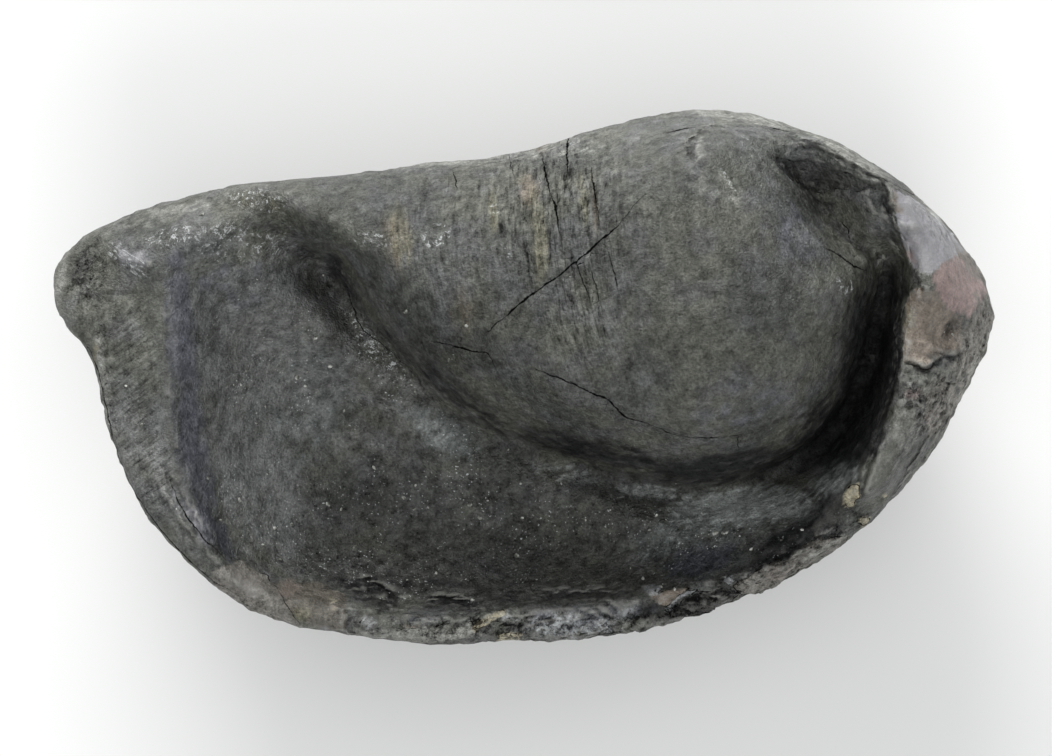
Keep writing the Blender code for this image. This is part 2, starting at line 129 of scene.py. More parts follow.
# Wider grooves: points (x, y, depth), then half width. Depth is negative where the line stands up.
GROOVES = {
    "knuckle outline": ([
        (18.3, 23.3, 0.2), (17.1, 23.2, 0.4), (16, 22.5, 0.5), (15.4, 21.4, 0.5), (15.6, 20.1, 0.4),
        (16.1, 19.1, 0.1)], 0.28),
    "floor of the scar": ([
        (21, 23.4, -0.2), (24, 21.7, -1.3), (27.5, 20.1, -2.2), (31, 17.9, -2.5), (33, 14.4, -2.3),
        (33.8, 10.8, -1.5), (34, 7.6, -0.3)], 1.9),
    "foot of the cleft": ([
        (24, 19.7, 0.1), (25.4, 18.3, 0.4), (27.1, 17.2, 0.4), (28.4, 16.3, 0.35), (29.4, 15.1, 0.3),
        (29.7, 14.2, 0.1)], 0.3),
    "furrow, front": ([
        (-14.6, 4, 0.1), (-13.1, 2.6, 0.4), (-10.7, 0.2, 0.5), (-9, -1, 0.4), (-6.2, -3.2, 0.2),
        (-2.3, -5.2, 0.1)], 0.6),
    "overhang, outer": ([(38.3, 2.2, 0.2), (39.3, 2.1, 0.4), (40.5, 1.9, 0.3), (41.2, 2.7, 0.1)], 0.25),
    "crescent": ([(35.8, -2.2, 0.1), (36.2, -2.8, 0.3), (37.2, -3, 0.1)], 0.25),
    "rim slit 1": ([
        (-17.3, -20.3, 0.1), (-15.7, -19.8, 1), (-14.2, -20.4, 1.3), (-12.7, -21.3, 1),
        (-11.4, -22.3, 0.2)], 0.5),
    "rim slit 2": ([(-17, -21.4, 0.1), (-15.7, -21.1, 0.7), (-14, -21.6, 0.8), (-12.7, -22.5, 0.3)], 0.4),
    "rim slit 3": ([
        (-9.5, -21.6, 0.1), (-8.1, -21.5, 0.9), (-6.4, -21.5, 1.1), (-4.8, -22, 0.6),
        (-3.7, -22.4, 0.1)], 0.4),
    "rim slit 4": ([(-1, -21.2, 0.1), (2.2, -21, 0.6), (6, -20.8, 0.8), (10, -20.6, 0.3)], 0.35),
    "ridge in the front rim": ([
        (-35.2, -8.6, -0.1), (-33.9, -11.2, -0.3), (-32.2, -13.8, -0.3), (-30.2, -16.2, -0.25),
        (-28.6, -17.8, -0.1)], 0.3),
    "hollow beside the ridge": ([
        (-34.2, -8.4, 0.1), (-32.9, -11, 0.35), (-31.2, -13.4, 0.35), (-29.4, -15.8, 0.25),
        (-27.8, -17.2, 0.1)], 0.3),
    "conchoid 1": ([(5.6, -21.6, 0.1), (7, -22.3, 0.3), (8, -23.4, 0.3), (8.4, -24.4, 0.1)], 0.25),
    "conchoid 2": ([(6.8, -21.3, 0.1), (8.4, -22, 0.3), (9.1, -23.3, 0.3), (9.3, -24.4, 0.1)], 0.25),
    "conchoid 3": ([(4.7, -21.9, 0.1), (6.1, -22.7, 0.25), (6.8, -24, 0.15)], 0.25),
}  # fmt: skip

# Steps, where the surface to the right of the line is broken away: points (x, y, drop), then how far the
# drop fades out, and how far the other side stands up for each millimetre of drop.
STEPS = {
    "edge of the scar": ([
        (18.5, 23.8, 0.1), (19.4, 24, 0.2), (20.8, 24.4, 0.3), (23.3, 23.6, 0.4), (25.4, 22.8, 0.4),
        (27.4, 21.5, 0.45), (29.7, 20.5, 0.5), (31.7, 19.3, 0.6), (33.4, 18.5, 0.7), (34, 17.3, 0.8),
        (34.2, 15.9, 0.9), (34.9, 13.9, 0.9), (36, 11.3, 0.9), (37, 9.2, 0.6), (37.2, 8.6, 0.2)], 2.5, 0.3),
    "edge of the rear wall": ([
        (37.2, 8.6, 0.3), (35.9, 7.3, 0.8), (35.6, 4.4, 1.1), (35.4, 1.4, 1.1), (34.7, -2.2, 1.1),
        (33.5, -6.1, 1), (32.2, -9.9, 0.8), (31.6, -11.8, 0.2)], 2, 0.3),
    "cliff in the rear wall": ([
        (35.5, 1.5, 0.2), (36.8, 1.1, 0.6), (37.7, 0.9, 0.7), (38.7, 1.5, 0.7), (39.5, 1.9, 0.6),
        (41.2, 2.3, 0.3)], 1.8, 0.2),
    "edge of the outer strip": ([
        (38.9, -5, 0.1), (37.8, -6.6, 0.35), (36.4, -9, 0.4), (35.4, -10.9, 0.4),
        (34.4, -11.9, 0.1)], 1.5, 0.3),
    "end of the smooth rim": ([
        (-16.2, -24.9, 0.2), (-17, -23.7, 0.7), (-16.7, -22.9, 0.7), (-17.1, -21.9, 0.2)], 2.5, 0),
    "edge of the flake": ([
        (12.9, -22.5, 0.1), (13.7, -21.5, 0.5), (14.9, -20.6, 0.6), (16.2, -20.2, 0.2)], 2, 0),
    "lower edge of the fragment": ([
        (20.1, -20.6, 0.3), (21.2, -20.8, 0.6), (23, -20.2, 0.6), (25.2, -19.2, 0.6), (26.5, -18.1, 0.6),
        (28.2, -17.1, 0.6), (30, -15.8, 0.2)], 1.5, 0),
    "upper edge of the fragment": ([
        (29.4, -15.3, 0.1), (27.6, -15.5, 0.4), (25.8, -16.5, 0.6), (23.8, -17.6, 0.5), (22.7, -18.1, 0.6),
        (21.2, -19.1, 0.4), (19.8, -20, 0.1)], 1.5, 0),
}  # fmt: skip

# Pits and bumps: x, y, half sizes, depth, negative where it stands up.
PITS = [
    (-18.1, 10.5, 0.9, 1.3, 1.2), (30.9, -11.6, 0.9, 1.2, -0.15), (31.2, -11.4, 0.3, 0.25, 0.5),
    (32.1, -13.7, 0.6, 0.5, -0.25), (19.2, -19.1, 0.6, 0.5, -0.3), (19.2, -19.1, 0.25, 0.2, 0.3),
    (-8.5, -23.1, 2.4, 0.7, -0.3), (39.9, 3.7, 1.3, 1.5, 0.7), (40.6, 4.8, 0.8, 0.6, 0.4),
    (38.2, 4.6, 0.3, 1.2, -0.3), (43, 12, 0.9, 1.2, -0.25),
]  # fmt: skip

# Flat broken pieces: the stain that colours each, how far it stands up, and its corners (x, y).
PIECES = [
    # The first piece is painted shade: the sunken cleft of the scar.
    ("painted_shade_and_dark_patch", -0.5, [
        (23.3, 20.6), (25, 20.2), (26.8, 20.4), (28.8, 19.6), (30.6, 18.8), (33, 17.6), (31.2, 17.4),
        (29.6, 17.8), (28, 17.3), (26.4, 17.9), (25, 18.6), (23.6, 19.8)]),
    ("lavender", 0, [
        (34.4, 17.6), (36.6, 17), (39.2, 15.9), (41.2, 13.4), (42.2, 11.9), (39.5, 10.8), (38.3, 9.6),
        (36.9, 9.7), (35.8, 12), (35, 14.2)]),
    ("red", 0, [(38.3, 9.6), (39.5, 10.8), (42.2, 11.9), (44.4, 8), (42.2, 5.6), (40.2, 6.2), (38.6, 8)]),
    ("tan", 0, [
        (37, 8.4), (38.6, 8), (40.2, 6.2), (41.4, 5.2), (41.5, 2.3), (39.5, 2), (38.7, 1.6), (37.7, 1),
        (35.5, 1.5), (35.7, 4.4), (36, 7.3)]),
    ("stone", 0.1, [
        (-29.8, -18.6), (-27.2, -17.5), (-24.5, -19.1), (-23.2, -20.7), (-22.2, -22.2), (-21.1, -23.8),
        (-24.5, -23.3), (-27.9, -21.7), (-29.5, -20.1)]),
    ("brown", 0, [
        (-24, -19.6), (-20.1, -19.6), (-17, -20.9), (-17, -24.1), (-20.1, -23.8), (-22.2, -22.2)]),
    ("pale_and_painted_light", 0.1, [(-16.2, -24.1), (-9.7, -23.8), (-5, -23.3), (-4.7, -24.6), (-9.7, -25.5), (-14.9, -25)]),
    ("bright", 0.25, [(-15.7, -23.3), (-15.1, -22.8), (-14.2, -23), (-14.1, -23.7), (-14.9, -23.9)]),
    ("cream", 0.15, [
        (-5, -23.8), (-3.7, -22.7), (-1.8, -22.2), (-1.7, -22.5), (-3.4, -23.4), (-4.7, -24.2)]),
    ("cream", 0.2, [(-2.6, -24.6), (-1.8, -24.3), (-0.3, -24.4), (-0.5, -25.2), (-2.5, -25.2)]),
    ("bright", 0.3, [(11.2, -20), (12.1, -19.8), (13, -20.2), (12.7, -20.8), (11.7, -20.7)]),
    ("tan", 0.35, [
        (11.3, -20.1), (12.9, -20.5), (15.7, -20.1), (14.8, -21), (13.8, -22.1), (12.9, -21.7),
        (12.2, -20.8)]),
    ("bright", 0.3, [
        (13.4, -22.2), (14.6, -20.8), (16.3, -20.1), (16.4, -20.3), (14.9, -21.1), (13.7, -22.4)]),
    ("dark brown", -0.15, [
        (13.8, -22.4), (16.2, -20.4), (19, -20.4), (20.5, -20.7), (19, -22), (16.4, -22.7), (14.2, -23.4)]),
    ("bright", 0.25, [(18.9, -19), (19.6, -18.9), (19.9, -19.4), (19.4, -19.8), (18.8, -19.4)]),
    ("stone", 0.25, [
        (19.8, -19.8), (21.8, -18.6), (23.5, -17.5), (24.7, -17.4), (26.8, -15.7), (29, -15.3),
        (30.9, -15.1), (30.5, -16.1), (27.9, -17.5), (25.9, -18.6), (24.2, -19.8), (21.8, -21.1),
        (20.3, -20.5)]),
    ("cream", 0.15, [(30.3, -12.3), (30.2, -11), (30.8, -10.2), (31.6, -10.3), (31.5, -11.4), (31, -12.4)]),
    ("cream", 0.15, [(31.7, -13.9), (31.8, -13.4), (32.5, -13.3), (32.8, -13.7), (32.3, -14.2)]),
    ("cream", 0.1, [(34, -11.4), (34, -11.1), (34.3, -11.1), (34.3, -11.4)]),
]  # fmt: skip

# Relief that weathering leaves: its height and the size of its lumps.
RELIEF = {
    "lumps": (0.09, 4),
    "dents": (0.03, 1.6),
    "grit": (0.05, 0.9),
    "dents of the outer side": (0.15, 1.6),
    "wrinkles": (0.14, 1),
    "fibres": (0.05, 0.6),
    "cords of fibre": (0.08, 1.8),
    "crust of the hollow": (0.1, 0.8),
    "splinters": (0.05, 0.5),
    "pits": (0.16, 0.7),
    "flats": (0.3, 2.4),
    "small flats": (0.22, 1),
}

# Zones of the surface, each a list of soft ellipses: x, y, half sizes, turn in degrees, amount.
ZONES = {
    "broken": [
        (2, -23.8, 17, 1.5, 0, 0.8), (20, -20.5, 8, 1.6, 22, 0.8), (29, -15.2, 4.5, 1.4, 32, 0.6),
        (38.5, -1, 3.4, 3, -30, 0.7), (27.5, 18.6, 8, 3.2, -26, 0.15), (31, 12.5, 3.5, 3, -40, 0.12),
        (39.9, 3.7, 1.6, 1.8, 0, 0.4)],
    "pitted": [
        (43.4, 2.5, 2.2, 6, -18, 1), (39, -3.5, 3, 3, -35, 0.9), (39.8, -7.4, 1.3, 5, -38, 0.9),
        (-41.6, 9.2, 1.8, 3.2, -15, 1), (2, -24.2, 15, 1.3, 0, 0.6), (38.6, 14.4, 4, 1.2, -50, 0.6),
        (43.4, 12, 1.8, 3, 40, 0.5), (-39.8, 0, 1, 7, 4, 0.6), (-26, -22, 6, 1.4, -28, 0.5)],
    "fibrous": [
        (2.5, 16, 7.5, 9, 0, 1), (5.5, 5.5, 4, 6, 20, 0.8), (-8, 12, 7, 8, 0, 0.5),
        (26, 23.4, 12, 1.9, -26, 0.8), (10, 3, 5, 8, 25, 0.3), (-2, 0, 8, 3, -30, 0.4),
        (-37.2, 1, 2.6, 8, 6, 0.9), (-35.5, -8, 2.2, 6, 22, 0.9)],
    "wrinkled": [
        (-37.5, 2, 3.4, 9, 6, 1), (-35.5, -9, 3, 7, 25, 0.9), (-39, 11, 4, 3, 0, 0.7),
        (24, -6, 12, 4, 15, 0.4), (-12, 8, 5, 6, 0, 0.3)],
    # Painted shadow: black in and below the pit, under its overhanging edge.
    "painted_hole_shadow": [(-18.2, 10.5, 1, 1.4, 10, 1), (-21.5, 11.8, 3, 1, -16, 0.4), (-16.9, 8.4, 0.4, 1.4, 20, 0.7)],
    # The hollow is darker: partly its own colour, partly painted shade.
    "hollow": [
        (-7, -13.5, 15, 8, -6, 0.7), (6, -16, 22, 5.5, 4, 0.8), (-10, -19, 14, 3, -4, 1),
        (-14, 0, 8, 7, 30, 0.4)],
    # Painted shade: near-black laid in the furrow and under overhanging rims.
    "painted_furrow_shade": [
        (16.4, -9.2, 6, 1.3, -2, 1), (25.6, -15.4, 5, 1.3, 32, 1), (33.4, 2, 4.2, 8, -8, 1),
        (30, -5.5, 6, 3.6, 38, 1), (21, -8, 8, 1.5, 6, 1), (8, -7.4, 9, 1.5, -14, 0.8),
        (-6, -1.8, 6.5, 1.2, -38, 0.6), (-12.6, 3, 4, 0.7, -50, 0.4), (28.6, -13.4, 3.6, 1.6, 40, 0.9),
        (-8, -20.4, 13, 1, -4, 0.6), (12.2, -22.2, 2, 0.8, 14, 0.6), (17.5, -20.6, 2.6, 0.7, 20, 0.5),
        (-14.6, -20.9, 2.8, 1.1, -20, 0.9), (-6.5, -21.6, 3.6, 0.7, -4, 0.8), (24, -16.6, 4, 1, 28, 0.8)],
    # Painted shade in slits, under the cliff and in the recess, and a dark rough patch on the knob.
    "painted_shade_and_dark_patch": [
        (-42, 10.4, 1.2, 2.4, -20, 0.8), (-40.6, 7.6, 1, 1.6, 30, 0.6), (-37, -3, 1.2, 5, 10, 0.4),
        (-35.6, -9.6, 1, 4, 25, 0.4), (29, 12, 1.6, 1.2, -30, 0.4), (-23, 13.6, 3.4, 1.6, -30, 0.5),
        (40.6, 4.9, 1.2, 0.8, 0, 0.9), (39.6, 1.9, 2, 0.5, 5, 0.9), (38.4, -2.4, 2, 1.6, -20, 0.4),
        (36.9, 0.7, 1.2, 0.5, 0, 0.8), (-15, -20.3, 2.6, 0.6, -20, 1), (-6.6, -21.5, 3, 0.4, -4, 1),
        (4.5, -20.9, 5, 0.4, 3, 1), (-1, -23.8, 1, 0.5, 0, 0.8), (11.6, -22.6, 1.2, 0.8, 10, 0.5)],
    "slate": [
        (-25, 2, 8, 10, 20, 0.9), (-26, -10, 5, 8, 30, 0.9), (-36, -8, 3, 9, 25, 0.6),
        (39.9, 3.8, 1.3, 1.3, 0, 0.9), (-14, -4, 6, 5, 30, 0.5), (26, 13, 2, 1.4, -30, 0.6)],
    # Crust: a pale granular crust on the ledges, and painted light where the dome shades it.
    "pale_crust_and_painted_light": [
        (21, -12.4, 7, 1.7, 6, 1), (29.6, -9.6, 3, 1.3, 38, 0.7), (12, -11.2, 4, 1, -4, 0.45),
        (4, -9.4, 4, 0.9, -10, 0.45), (-9, -5.4, 3.6, 1.4, -35, 0.5)],
    "stone": [(43, 3, 2.4, 6.5, -18, 0.9), (39.4, -3, 2.6, 3, -35, 0.9), (43, 11, 1.6, 3, 40, 0.8)],
    "teal": [
        (-8.1, -5.6, 4.6, 2, -32, 0.7), (-11.5, -3.2, 2.2, 1.4, -50, 0.5), (16, -15, 7, 2.4, 14, 0.6),
        (7.5, 3, 1.4, 2.2, 10, 0.45), (-22, -2, 7, 8, 20, 0.4), (-26, -12, 4, 6, 30, 0.4)],
    # Dark blue-grey along a crease, inside the rim and in the furrow, partly painted shade.
    "dark_blue_and_painted_shade": [
        (-33.4, 3, 0.3, 6, 3, 0.8), (-32.6, -7, 0.5, 7, 8, 0.8), (-29, -15, 0.8, 3, 32, 0.9),
        (16.8, -17.6, 4, 1.6, 18, 0.9), (11.6, -22, 1.4, 1, 10, 0.6), (5.8, -23.4, 3, 0.8, 20, 0.5),
        (30, -5, 4.5, 3, 40, 0.4), (-10.5, -23, 3, 0.6, 0, 0.5)],
    # Painted reflection: a cool blue-grey where the glossy bone would mirror the pale sky.
    "painted_blue_reflection": [
        (-32.4, 4, 1.3, 8, 3, 1), (-31.2, -8, 1.3, 8, 8, 0.9), (-28, 9, 5, 3, 0, 0.4),
        (24.5, 13.5, 4, 3, -30, 0.4), (20, -2, 6, 3, 10, 0.35), (5, -22.8, 6, 1.2, 3, 0.6)],
    "lavender": [
        (-18.9, -24.2, 1, 0.7, 0, 0.6), (-37, 11.4, 2.4, 1, -32, 0.5), (-31.6, -13, 0.9, 3.6, 32, 0.5),
        (-25.8, -19.8, 2.4, 1.3, -34, 0.7)],
    # Painted highlights: zones of bright streaks along a few edges.
    "painted_highlight_streaks": [(-37.4, 11, 2.6, 1.1, -33, 1), (39.4, 15.4, 0.7, 2, 35, 1), (40.6, 13.2, 1, 0.6, 0, 1)],
    # Painted light: zones painted lighter where the lamps leave them darker.
    "painted_light": [
        (18.6, -12.8, 6, 2.2, 3, 3), (28, -9.4, 4, 1.2, 36, 1.8), (20.6, 18.8, 3.4, 3, 0, 1.3),
        (-24, -5, 8, 8, 20, 0.4), (27, 20.6, 6, 2, -28, 1.6), (31.6, 13.8, 2, 3.6, 20, 1),
        (42, 2, 3, 6, -18, 1.4), (10.6, -15.8, 5, 2.4, 4, 0.9), (3.4, -23.9, 5, 0.9, 0, 0.9),
        (-36.5, -2, 3, 12, 6, 0.6), (-29, 11.4, 4, 3.4, 0, 2), (13, 23.6, 8, 2.4, -3, 1.4),
        (-4, 21.5, 18, 1.4, 4, 0.8), (43, 1, 3, 8, -20, 0.6), (-6, -12, 9, 4.4, -10, 1.2)],
    # Painted shade: zones painted darker.
    "painted_shade": [
        (4, -7, 4, 1.4, -14, 0.8), (-5.2, 4.5, 4, 3, 0, 1), (-22.4, -21.2, 3.6, 1.6, -22, 1),
        (-2.8, -9.6, 4, 1.6, -20, 0.8), (19, 9, 9, 8, 0, 0.5), (3, 12, 4, 4, 0, 0.5),
        (16, -21.8, 4, 0.9, 14, 1)],
    "red": [
        (-22.6, -20.2, 1, 0.7, 0, 1), (24, -18.6, 1.6, 0.7, 30, 0.9), (36.6, -1.6, 1, 0.8, 0, 0.5),
        (38.4, -3.6, 0.8, 0.8, 0, 0.4), (36.6, 11.6, 1, 1.6, 20, 0.4)],
    "rust": [
        (0.4, 17.4, 1, 2.2, 6, 0.8), (1.6, 22.2, 1, 1.2, 0, 0.6), (6.5, 16, 0.3, 3, 4, 0.6),
        (-5.6, 6, 1.4, 2.2, 0, 0.5), (-12, 12.6, 1.6, 3, 0, 0.5)],
    "tan": [(34.9, 16.4, 0.7, 1.4, 20, 0.6), (-8, -23.9, 5, 0.6, -3, 0.4)],
    "brown": [
        (17, -22.2, 2, 0.5, 15, 0.6), (-40.7, 2.3, 0.5, 1.6, -15, 0.6), (27.6, -15.6, 2, 0.6, 20, 0.5)],
    "dark brown": [],  # only broken pieces have it
    "ochre": [
        (1.5, 12, 0.6, 3.8, 2, 1), (1, 15.4, 0.6, 3, 6, 0.7), (5.4, 16.2, 0.5, 2.6, 4, 0.8),
        (-2.9, 15.2, 0.4, 2.4, 4, 0.8), (-11.8, 12.8, 1.4, 3.4, 4, 0.6), (-40.7, 2.3, 0.35, 1.4, -15, 1),
        (-24.5, 16.3, 3.4, 1, -14, 0.4), (36.1, 5, 0.4, 1.6, 0, 0.7), (-21, -22.4, 1, 0.8, 0, 0.8)],
    "cream": [(-18, -22, 0.3, 1.2, 20, 0.6)],
    # Pale: paler bone on rims and outer edges, and painted light along the top edges.
    "pale_and_painted_light": [
        (22, 24.8, 9, 1, -8, 0.9), (30.8, 20.9, 5, 1.1, -33, 1), (38.5, 16.4, 3.5, 0.9, -45, 0.8),
        (-6, 20.8, 16, 1.2, 4, 0.55), (-34, 15.4, 8, 1, 15, 0.5), (43.8, 1, 1.2, 8, -26, 0.6),
        (38.8, -8.8, 1, 5.5, -38, 0.9), (36, -5, 1.6, 4, -25, 0.6), (-40, -1, 0.5, 7, 4, 0.8),
        (-37.4, -11, 0.5, 7, 27, 0.7), (-44.2, 8.8, 0.6, 3.2, -12, 0.9), (16.2, 21, 0.5, 1.6, -10, 0.6),
        (18, 17, 3, 2, -40, 0.35), (28.4, -16.3, 2.4, 0.3, 32, 0.9)],
    "bright": [
        (5, -23.6, 4.6, 1.3, 2, 0.8), (9.4, -22.6, 1.8, 0.8, 14, 0.6), (-1.5, -22.8, 1.6, 0.8, 10, 0.5)],
    # Sheen: a smoother finish, with glints painted on it as short bright curls.
    "sheen_and_painted_glints": [
        (-8.1, 13, 1.5, 1.3, 0, 1), (-1.6, 11.3, 0.4, 1.2, 10, 1), (-37.6, 11, 2.4, 0.6, -32, 0.8),
        (-33, 13.2, 3, 1, 8, 1), (-27, 12.6, 6, 2.4, 0, 0.7), (-25, 16.6, 3.4, 1.2, -12, 0.9),
        (-14, 12.8, 2.4, 0.8, 0, 0.9), (-2.8, 15.6, 0.5, 1.6, 5, 0.8), (4, 9.3, 0.7, 0.6, 0, 0.8),
        (-14.5, 3, 5, 1.4, -50, 0.9), (38.9, 16, 0.5, 1.8, 35, 1), (21, 21.5, 3, 0.8, -50, 0.5),
        (30, 8.4, 1.4, 1, -30, 0.8), (4.6, 22.4, 1, 1, 0, 0.6), (41.4, 13.4, 0.8, 0.6, 0, 0.8),
        (18.9, 18.4, 0.5, 2, 25, 0.8), (17.4, 21.4, 0.8, 0.8, 0, 0.5)],
}  # fmt: skip

# sRGB colours of the bone itself, and of the painted glints, the painted shade in creases and pits, and edges
# made paler by wear and by a painted highlight.
BONE = {
    "olive": "#343631", "earthy": "#45463d", "slaty": "#4b4c4e", "worn": "#8a8a84", "painted_crease_shade": "#0f0f0d",
    "painted_glint": "#bcbfbe", "crack": "#050505",
}  # fmt: skip

# Sizes of its fine patterns. The real grain and specks are finer than 0.1 mm: they are drawn this coarse so
# that they show.
FINE = {
    "grain": 0.26, "rock": 0.75, "fibre": 0.4, "chips": 0.7, "threads": 0.8, "fissures": 1.1, "specks": 0.24,
}  # fmt: skip

# sRGB colours of the stains and of the painted shade, light and reflections, with how strong each is, the
# size of its ragged edge and how soft it is.
STAINS = {
    # The hollow's dark is partly painted shade.
    "hollow": ("#2f302c", 0.8, 2.4, 0.6),
    "slate": ("#666766", 0.75, 2.2, 0.45),
    "teal": ("#585d5b", 0.75, 1, 0.25),
    # The crust is partly painted light.
    "pale_crust_and_painted_light": ("#8b8f8c", 0.85, 0.7, 0.3),
    # The blue is a painted reflection of the pale sky.
    "painted_blue_reflection": ("#50515d", 0.6, 1.6, 0.4),
    "lavender": ("#88878b", 0.9, 1.6, 0.35),
    "tan": ("#6c6257", 0.9, 1, 0.2),
    "red": ("#937d79", 0.75, 1.4, 0.45),
    "stone": ("#635f58", 0.85, 1, 0.2),
    "rust": ("#5a4933", 0.5, 0.6, 0.45),
    "brown": ("#565047", 0.85, 0.9, 0.2),
    "dark brown": ("#1d1b18", 0.95, 0.9, 0.2),
    "ochre": ("#69654d", 0.55, 0.5, 0.5),
    # The pale is partly painted light, on the top edges.
    "pale_and_painted_light": ("#74746e", 0.8, 0.8, 0.3),
    "bright": ("#818384", 0.85, 0.7, 0.25),
    # The soot is mostly painted shade, with the knob's dark patch.
    "painted_shade_and_dark_patch": ("#1b1c1a", 0.7, 0.8, 0.35),
    # The ink is dark blue-grey, partly painted shade.
    "dark_blue_and_painted_shade": ("#22242e", 0.8, 1, 0.35),
    # The furrow's near-black is painted shade.
    "painted_furrow_shade": ("#0e0e10", 0.85, 2, 0.4),
    # The hole's black is a painted shadow.
    "painted_hole_shadow": ("#0c0c0c", 0.9, 0.8, 0.25),
    "cream": ("#958e78", 0.95, 0.5, 0.15),
}


def curve_through(points, steps=8):
    """Points along a Catmull-Rom curve through the given ones, with any further columns carried along."""
    given = np.array(points, float)
    padded = np.vstack([2 * given[0] - given[1], given, 2 * given[-1] - given[-2]])
    t = np.linspace(0, 1, steps, endpoint=False)[:, None]
    rows = []
    for before, start, end, after in zip(padded, padded[1:], padded[2:], padded[3:]):
        rows.append(0.5 * (
            2 * start + (end - before) * t + (2 * before - 5 * start + 4 * end - after) * t**2
            + (3 * start - before - 3 * end + after) * t**3
        ))  # fmt: skip
    return np.vstack([*rows, given[-1:]])


def near(places, points, reach):
    """The places within reach of a curve: which ones, their signed distance (left is positive), and
    the curve's third column there."""
    curve = curve_through(points)
    low, high = curve[:, :2].min(axis=0) - reach, curve[:, :2].max(axis=0) + reach
    which = np.flatnonzero(((places > low) & (places < high)).all(axis=1))
    starts, spans = curve[:-1], np.diff(curve, axis=0)
    gaps = places[which, None, :] - starts[None, :, :2]
    lengths = np.maximum((spans[:, :2] ** 2).sum(axis=1), 1e-12)
    shares = np.clip((gaps * spans[None, :, :2]).sum(axis=2) / lengths, 0, 1)
    off = gaps - shares[:, :, None] * spans[None, :, :2]
    distances = np.hypot(off[:, :, 0], off[:, :, 1])
    best = distances.argmin(axis=1)
    rows = np.arange(len(which))
    gap, span = gaps[rows, best], spans[best]
    side = np.sign(span[:, 0] * gap[:, 1] - span[:, 1] * gap[:, 0])
    value = starts[best, 2] + shares[rows, best] * span[:, 2]
    return which, distances[rows, best] * side, value


def to_edge(places, corners, reach):
    """The places within reach of a polygon: which ones, and their distance to its edge, positive inside."""
    low, high = np.min(corners, axis=0) - reach, np.max(corners, axis=0) + reach
    which = np.flatnonzero(((places > low) & (places < high)).all(axis=1))
    close = places[which]
    x, y = close.T
    distance, within = np.full(len(close), 1e9), np.zeros(len(close), bool)
    for start, end in zip(corners, [*corners[1:], corners[0]]):
        start, span = np.array(start), np.subtract(end, start)
        share = np.clip((close - start) @ span / (span @ span), 0, 1)
        distance = np.minimum(distance, np.hypot(*(close - start - share[:, None] * span).T))
        if span[1]:
            passes = (start[1] > y) != (end[1] > y)
            within ^= passes & (x < start[0] + span[0] * (y - start[1]) / span[1])
    return which, np.where(within, distance, -distance)


def inside(places, corners, soft):
    """1 inside a polygon and 0 outside, changing over its edge."""
    filled = np.zeros(len(places))
    which, distance = to_edge(places, corners, soft)
    filled[which] = smoothstep(distance, -soft, soft)
    return filled


def smoothstep(value, low, high):
    t = np.clip((value - low) / (high - low), 0, 1)
    return t * t * (3 - 2 * t)


def noise(points, size, seed, octaves=1):
    """Smooth noise of about -1 to 1, with lumps of this size and finer ones of half the height."""
    rng = np.random.default_rng(seed)
    order = np.tile(rng.permutation(256), 2)
    gradients = rng.normal(size=(256, 3))
    gradients /= np.linalg.norm(gradients, axis=1, keepdims=True)
    total = np.zeros(len(points))
    for octave in range(octaves):
        scaled = points * (2**octave / size) + 17.3 * octave
        cell = np.floor(scaled).astype(int)
        within = (scaled - cell).T
        fade = within**3 * (within * (within * 6 - 15) + 10)
        shares = (1 - fade, fade)
        x, y, z = (cell % 256).T
        for a, b, c in np.ndindex(2, 2, 2):
            slope = gradients[order[order[order[x + a & 255] + (y + b & 255)] + (z + c & 255)]]
            weight = shares[a][0] * shares[b][1] * shares[c][2]
            arm = (within[0] - a, within[1] - b, within[2] - c)
            rise = slope[:, 0] * arm[0] + slope[:, 1] * arm[1] + slope[:, 2] * arm[2]
            total += weight * rise / 2**octave
    return total * 1.6


def stray(points, kind):
    """How far drawn lines of this kind stray from their course at these points."""
    far, length, octaves, seed = STRAY[kind]
    return far * noise(points, length, SEED + seed, octaves)


def facets(points, size, seed, tilt=0.45, lift=0.25, sharp=40, kinds=4096):
    """Height of broken stone: flats of about this size, each with its own tilt, with short slopes between."""
    rng = np.random.default_rng(seed)
    scaled = points / size
    cell = np.floor(scaled).astype(int)
    spots, slopes = rng.random((kinds, 3)), rng.normal(size=(kinds, 3)) * tilt
    lifts = rng.normal(size=kinds) * lift
    total, weights = np.zeros(len(points)), np.full(len(points), 1e-60)
    for step in np.ndindex(3, 3, 3):
        other = cell + np.array(step) - 1
        key = (other @ np.array([73, 179, 283])) % kinds
        arm = scaled - other - spots[key]
        weight = np.exp(-sharp * (arm**2).sum(axis=1))
        total += weight * ((arm * slopes[key]).sum(axis=1) + lifts[key])
        weights += weight
    return total / weights * size


def fine_surface():
    """An even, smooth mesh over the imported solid, finer on the upper side and finest where it is carved."""
    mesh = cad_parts[NODE].data.copy()
    merged = bmesh.new()
    merged.from_mesh(mesh)
    bmesh.ops.remove_doubles(merged, verts=merged.verts, dist=0.001 * MM)
    merged.to_mesh(mesh)
    merged.free()
    made = bpy.data.objects.new("bone_surface", mesh)
    bpy.context.scene.collection.objects.link(made)
    rounded = made.modifiers.new("rounded facets", "SUBSURF")
    rounded.levels = rounded.render_levels = 2
    even = made.modifiers.new("even mesh", "REMESH")
    even.mode = "VOXEL"
    even.voxel_size = COARSE * MM
    relaxed = made.modifiers.new("relaxed", "SMOOTH")
    relaxed.factor, relaxed.iterations = 0.5, 4
    made.data = plain_mesh(made)
    made.modifiers.clear()
    refine(made.data, upper_side)
    refine(made.data, carved_places)
    return made


def upper_side(centres, normals):
    """Faces that look up, without those low on the outer side."""
    return (normals[:, 2] > 0.12) & ((centres[:, 2] > 9) | (normals[:, 2] > 0.6))


